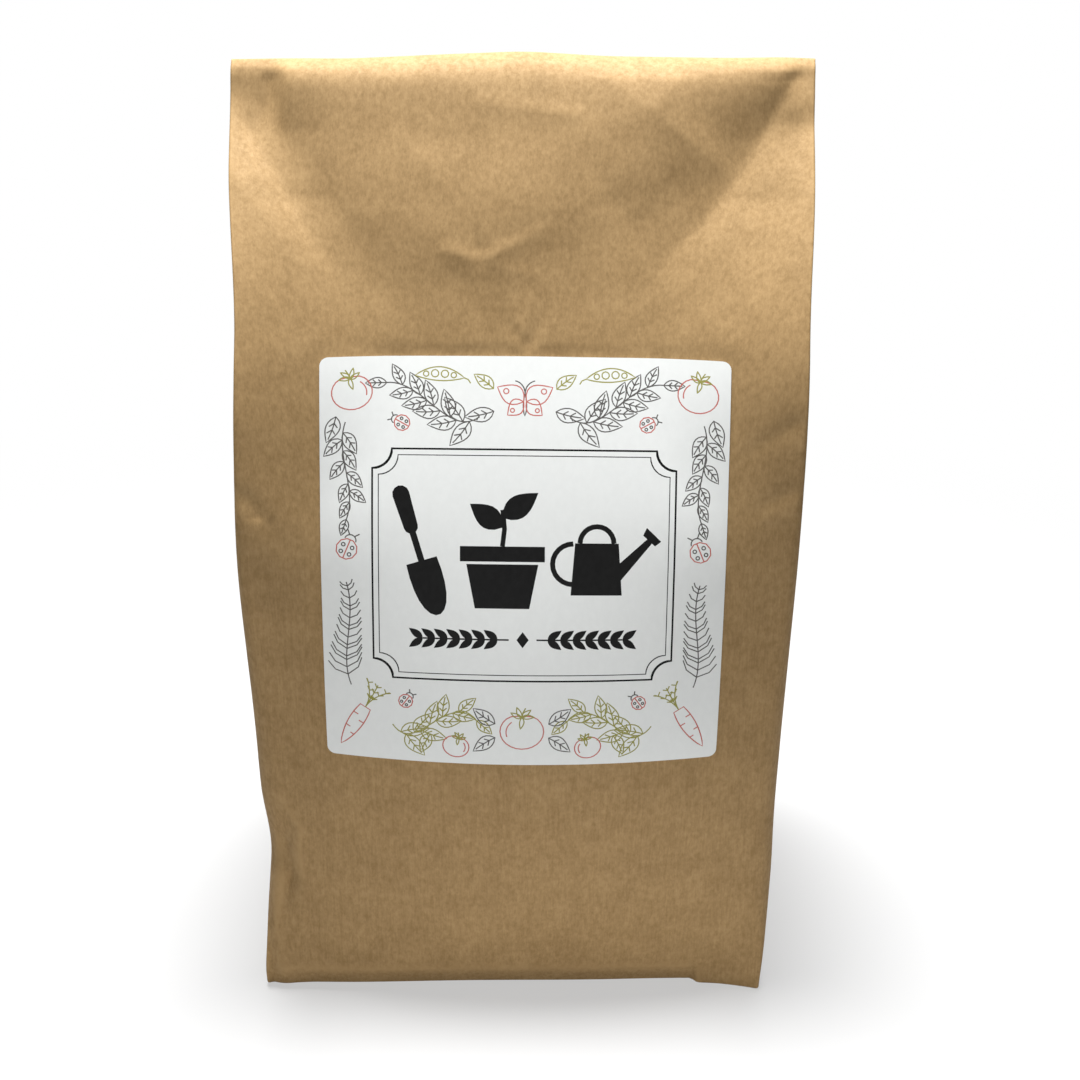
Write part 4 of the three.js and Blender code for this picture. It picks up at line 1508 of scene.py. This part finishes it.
def kraft_material(finishes):
    """Unbleached paper: mottled, streaky, flecked, worn pale on ridges, with painted shade darkening its
    valleys.
    """
    material, tree, shader, where = new_material("Kraft paper")
    light, dark = rgba(finishes.kraft_light), rgba(finishes.kraft_dark)
    grain = place_grain(tree, where, KRAFT_FIBRE_SCALE, KRAFT_MOTTLE_SCALE)
    mottle, streak = grain.outputs["Mottle"], grain.outputs["Streak"]
    cloud = add_node(tree, "ShaderNodeTexNoise", {"Vector": where, **KRAFT_CLOUD}).outputs["Fac"]
    shade = math_node(tree, "MULTIPLY", mottle, MOTTLE_SHADE)
    shade = math_node(tree, "ADD", shade, math_node(tree, "MULTIPLY", streak, STREAK_SHADE))
    shade = math_node(tree, "ADD", shade, remap(tree, cloud, *CLOUD_SHADE))
    base = mix_colour(tree, shade, light, dark)
    base = mix_colour(tree, KRAFT_EVENNESS, base, rgba(finishes.kraft))
    fleck = math_node(tree, "MULTIPLY", grain.outputs["Fleck"], FLECK_SHADE)
    base = mix_colour(tree, fleck, base, dark)
    wear = add_node(tree, "ShaderNodeAttribute", attribute_name="wear").outputs["Fac"]
    ridge = remap(tree, wear, *RIDGE_WEAR)
    ridge = math_node(tree, "MULTIPLY", ridge, remap(tree, streak, *RIDGE_STREAK))
    base = mix_colour(tree, ridge, base, light)
    # Painted shade: the valleys of creases darken towards the kraft shade colour
    base = mix_colour(tree, remap(tree, wear, *VALLEY_SHADE), base, dark)
    roughness = remap(tree, mottle, *KRAFT_ROUGHNESS)
    finish_paper(tree, shader, base, roughness, KRAFT_SPECULAR, KRAFT_BUMP, grain.outputs["Height"])
    return material


def label_finish(name, colour_value, thinness, finishes):
    """Coated label paper, plain or under ink; the white paper shows through the ink in places."""
    material, tree, shader, where = new_material(name)
    grain = place_grain(tree, where, LABEL_FIBRE_SCALE, LABEL_MOTTLE_SCALE)
    thin = remap(tree, grain.outputs["Mottle"], THIN_FROM, 1.0, 0.0, thinness)
    base = mix_colour(tree, thin, rgba(colour_value), rgba(finishes.label))
    roughness = remap(tree, grain.outputs["Streak"], *LABEL_ROUGHNESS)
    finish_paper(tree, shader, base, roughness, LABEL_SPECULAR, LABEL_BUMP, grain.outputs["Height"])
    return material


def label_paper_material(finishes):
    shaded = [LABEL_SHADE * part for part in finishes.label]
    return label_finish("Label paper", shaded, LABEL_MOTTLE, finishes)


def ink_material(name, finishes):
    return label_finish(f"Label ink {name}", getattr(finishes, name), INK_THIN[name], finishes)


# Studio
FLOOR_RADIUS = 6.0
FLOOR_SIDES = 96
FADE_START = 0.1
FADE_END = 0.8
NEAR_WHITE = 0.5
FLOOR_SEEN = (0.42, 0.42, 0.42, 1.0)
FLOOR_BOUNCE = (0.35, 0.35, 0.35, 1.0)
CAMERA_AIM = Vector((0.00767, 0.0, 0.1667))
SENSOR_WIDTH = 36.0


class Lamp(NamedTuple):
    """A soft lamp: its name, the setting that holds its power, its place, its aim and its size."""

    name: str
    setting: str
    place: tuple
    aim: tuple
    size: tuple


LAMPS = (
    Lamp("Key", "key", (-0.045, 0.12, 1.5), (0.0, 0.0, 0.25), (0.5, 0.5)),
    Lamp("Fill", "fill", (-0.02, -0.4, 0.03), (0.0, -0.05, 0.08), (0.3, 0.3)),
    Lamp("Base fill", "base_fill", (0.06, -0.19, 0.032), (0.03, -0.06, 0.01), (0.3, 0.05)),
)


def seen_directly(tree):
    """1 for what the camera sees, in the picture or in a gloss, and 0 for the light that surfaces get."""
    rays = tree.nodes.new("ShaderNodeLightPath").outputs
    seen = math_node(tree, "MAXIMUM", rays["Is Camera Ray"], rays["Is Glossy Ray"])
    return math_node(tree, "MAXIMUM", seen, rays["Is Transmission Ray"])


def floor_material():
    """Pale floor that keeps the bag's shadow and turns into the white background further out."""
    material = bpy.data.materials.new("Pale floor")
    material.use_nodes = True
    tree = material.node_tree
    tree.nodes.clear()
    where = tree.nodes.new("ShaderNodeTexCoord").outputs["Object"]
    distance = add_node(tree, "ShaderNodeVectorMath", {0: where}, operation="LENGTH").outputs["Value"]
    keys = {
        "Value": distance,
        "From Min": FADE_START,
        "From Max": FADE_END,
        "To Min": NEAR_WHITE,
        "To Max": 1.0,
    }
    far = add_node(tree, "ShaderNodeMapRange", keys, interpolation_type="SMOOTHERSTEP").outputs[0]
    shaded = add_node(tree, "ShaderNodeBsdfDiffuse", {"Color": FLOOR_SEEN})
    white = add_node(tree, "ShaderNodeEmission", {"Color": WHITE, "Strength": 1.0})
    shown = add_node(tree, "ShaderNodeMixShader", {0: far, 1: shaded.outputs[0], 2: white.outputs[0]})
    pale = add_node(tree, "ShaderNodeBsdfDiffuse", {"Color": FLOOR_BOUNCE})
    mixed = {0: seen_directly(tree), 1: pale.outputs[0], 2: shown.outputs[0]}
    both = add_node(tree, "ShaderNodeMixShader", mixed)
    out = tree.nodes.new("ShaderNodeOutputMaterial")
    tree.links.new(both.outputs[0], out.inputs["Surface"])
    return material


def make_floor():
    turns = np.linspace(0, 2 * math.pi, FLOOR_SIDES, endpoint=False)
    points = [(FLOOR_RADIUS * math.cos(t), FLOOR_RADIUS * math.sin(t), 0.0) for t in turns]
    floor = mesh_object("studio_floor", points, [list(range(FLOOR_SIDES))], [floor_material()])


def make_world(ambient):
    """White to look at, and an even soft light on everything."""
    world = bpy.data.worlds.new("Studio")
    bpy.context.scene.world = world
    world.use_nodes = True
    tree = world.node_tree
    tree.nodes.clear()
    soft = add_node(tree, "ShaderNodeBackground", {"Color": WHITE, "Strength": ambient})
    white = add_node(tree, "ShaderNodeBackground", {"Color": WHITE, "Strength": 1.0})
    mixed = {0: seen_directly(tree), 1: soft.outputs[0], 2: white.outputs[0]}
    both = add_node(tree, "ShaderNodeMixShader", mixed)
    out = tree.nodes.new("ShaderNodeOutputWorld")
    tree.links.new(both.outputs[0], out.inputs["Surface"])


def add_lamp(lamp, watts):
    light = bpy.data.lights.new(lamp.name, "AREA")
    light.shape = "ELLIPSE"
    light.size, light.size_y = lamp.size
    light.energy = watts
    holder = bpy.data.objects.new(lamp.name, light)
    holder.location = lamp.place
    holder.visible_camera = False
    holder.rotation_euler = (Vector(lamp.aim) - Vector(lamp.place)).to_track_quat("-Z", "Y").to_euler()
    bpy.context.scene.collection.objects.link(holder)


def add_camera(studio):
    lens = bpy.data.cameras.new("Camera")
    lens.lens = studio.focal_length
    lens.sensor_width = SENSOR_WIDTH
    camera = bpy.data.objects.new("Camera", lens)
    pitch = studio.camera_pitch
    back = Vector((0.0, -math.cos(pitch), math.sin(pitch))) * studio.camera_distance
    turn = Matrix.Rotation(math.pi / 2 - pitch, 4, "X") @ Matrix.Rotation(studio.camera_roll, 4, "Z")
    camera.matrix_world = Matrix.Translation(CAMERA_AIM + back) @ turn
    bpy.context.scene.collection.objects.link(camera)
    bpy.context.scene.camera = camera


def make_studio(studio):
    bpy.context.scene.view_settings.view_transform = "Standard"
    make_floor()
    make_world(studio.ambient)
    for lamp in LAMPS:
        add_lamp(lamp, getattr(studio, lamp.setting))
    add_camera(studio)


# Add-on


class COMPOSTBAG_OT_studio(bpy.types.Operator):
    """Add the pale floor, the soft lights and the camera"""

    bl_idname = "compost_bag.studio"
    bl_label = "Studio"

    def execute(self, context):
        make_studio(context.scene.compost_bag_studio)
        return {"FINISHED"}


class COMPOSTBAG_OT_bag(bpy.types.Operator):
    """Make the filled kraft paper bag"""

    bl_idname = "compost_bag.bag"
    bl_label = "Kraft Bag"

    def execute(self, context):
        scene = context.scene
        bag = make_kraft_bag(scene.compost_bag_sizes, scene.compost_bag_finishes)
        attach(bag, BODY)
        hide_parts("kraft_bag")
        return {"FINISHED"}


class COMPOSTBAG_OT_label(bpy.types.Operator):
    """Make the printed label on the front"""

    bl_idname = "compost_bag.label"
    bl_label = "Front Label"

    def execute(self, context):
        scene = context.scene
        sizes = scene.compost_bag_label
        label = make_front_label(scene.compost_bag_sizes, sizes, scene.compost_bag_finishes)
        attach(label, BODY)
        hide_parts("front_label")
        return {"FINISHED"}


class COMPOSTBAG_PT_panel(bpy.types.Panel):
    """Lists the pieces with their sizes and colours"""

    bl_idname = "COMPOSTBAG_PT_panel"
    bl_label = "Compost Bag"
    bl_space_type = "VIEW_3D"
    bl_region_type = "UI"
    bl_category = "Compost Bag"

    def draw(self, context):
        for operator, settings in PIECES:
            box = self.layout.box()
            box.operator(operator.bl_idname)
            for name in settings:
                group = getattr(context.scene, name)
                for key in group.bl_rna.properties.keys():
                    if key not in ("rna_type", "name"):
                        box.prop(group, key)


PIECES = (
    (COMPOSTBAG_OT_studio, ("compost_bag_studio",)),
    (COMPOSTBAG_OT_bag, ("compost_bag_sizes", "compost_bag_finishes")),
    (COMPOSTBAG_OT_label, ("compost_bag_label",)),
)
SETTINGS = {
    "compost_bag_sizes": BagSizes,
    "compost_bag_label": LabelSizes,
    "compost_bag_finishes": Finishes,
    "compost_bag_studio": Studio,
}
CLASSES = (*SETTINGS.values(), *(operator for operator, _ in PIECES), COMPOSTBAG_PT_panel)


def register():
    for cls in CLASSES:
        bpy.utils.register_class(cls)
    for name, group in SETTINGS.items():
        setattr(bpy.types.Scene, name, PointerProperty(type=group))


def unregister():
    for name in SETTINGS:
        delattr(bpy.types.Scene, name)
    for cls in reversed(CLASSES):
        bpy.utils.unregister_class(cls)


def main():
    register()
    bpy.ops.compost_bag.studio()
    bpy.ops.compost_bag.bag()
    bpy.ops.compost_bag.label()
    bpy.context.view_layer.update()


if __name__ == "__main__":
    main()
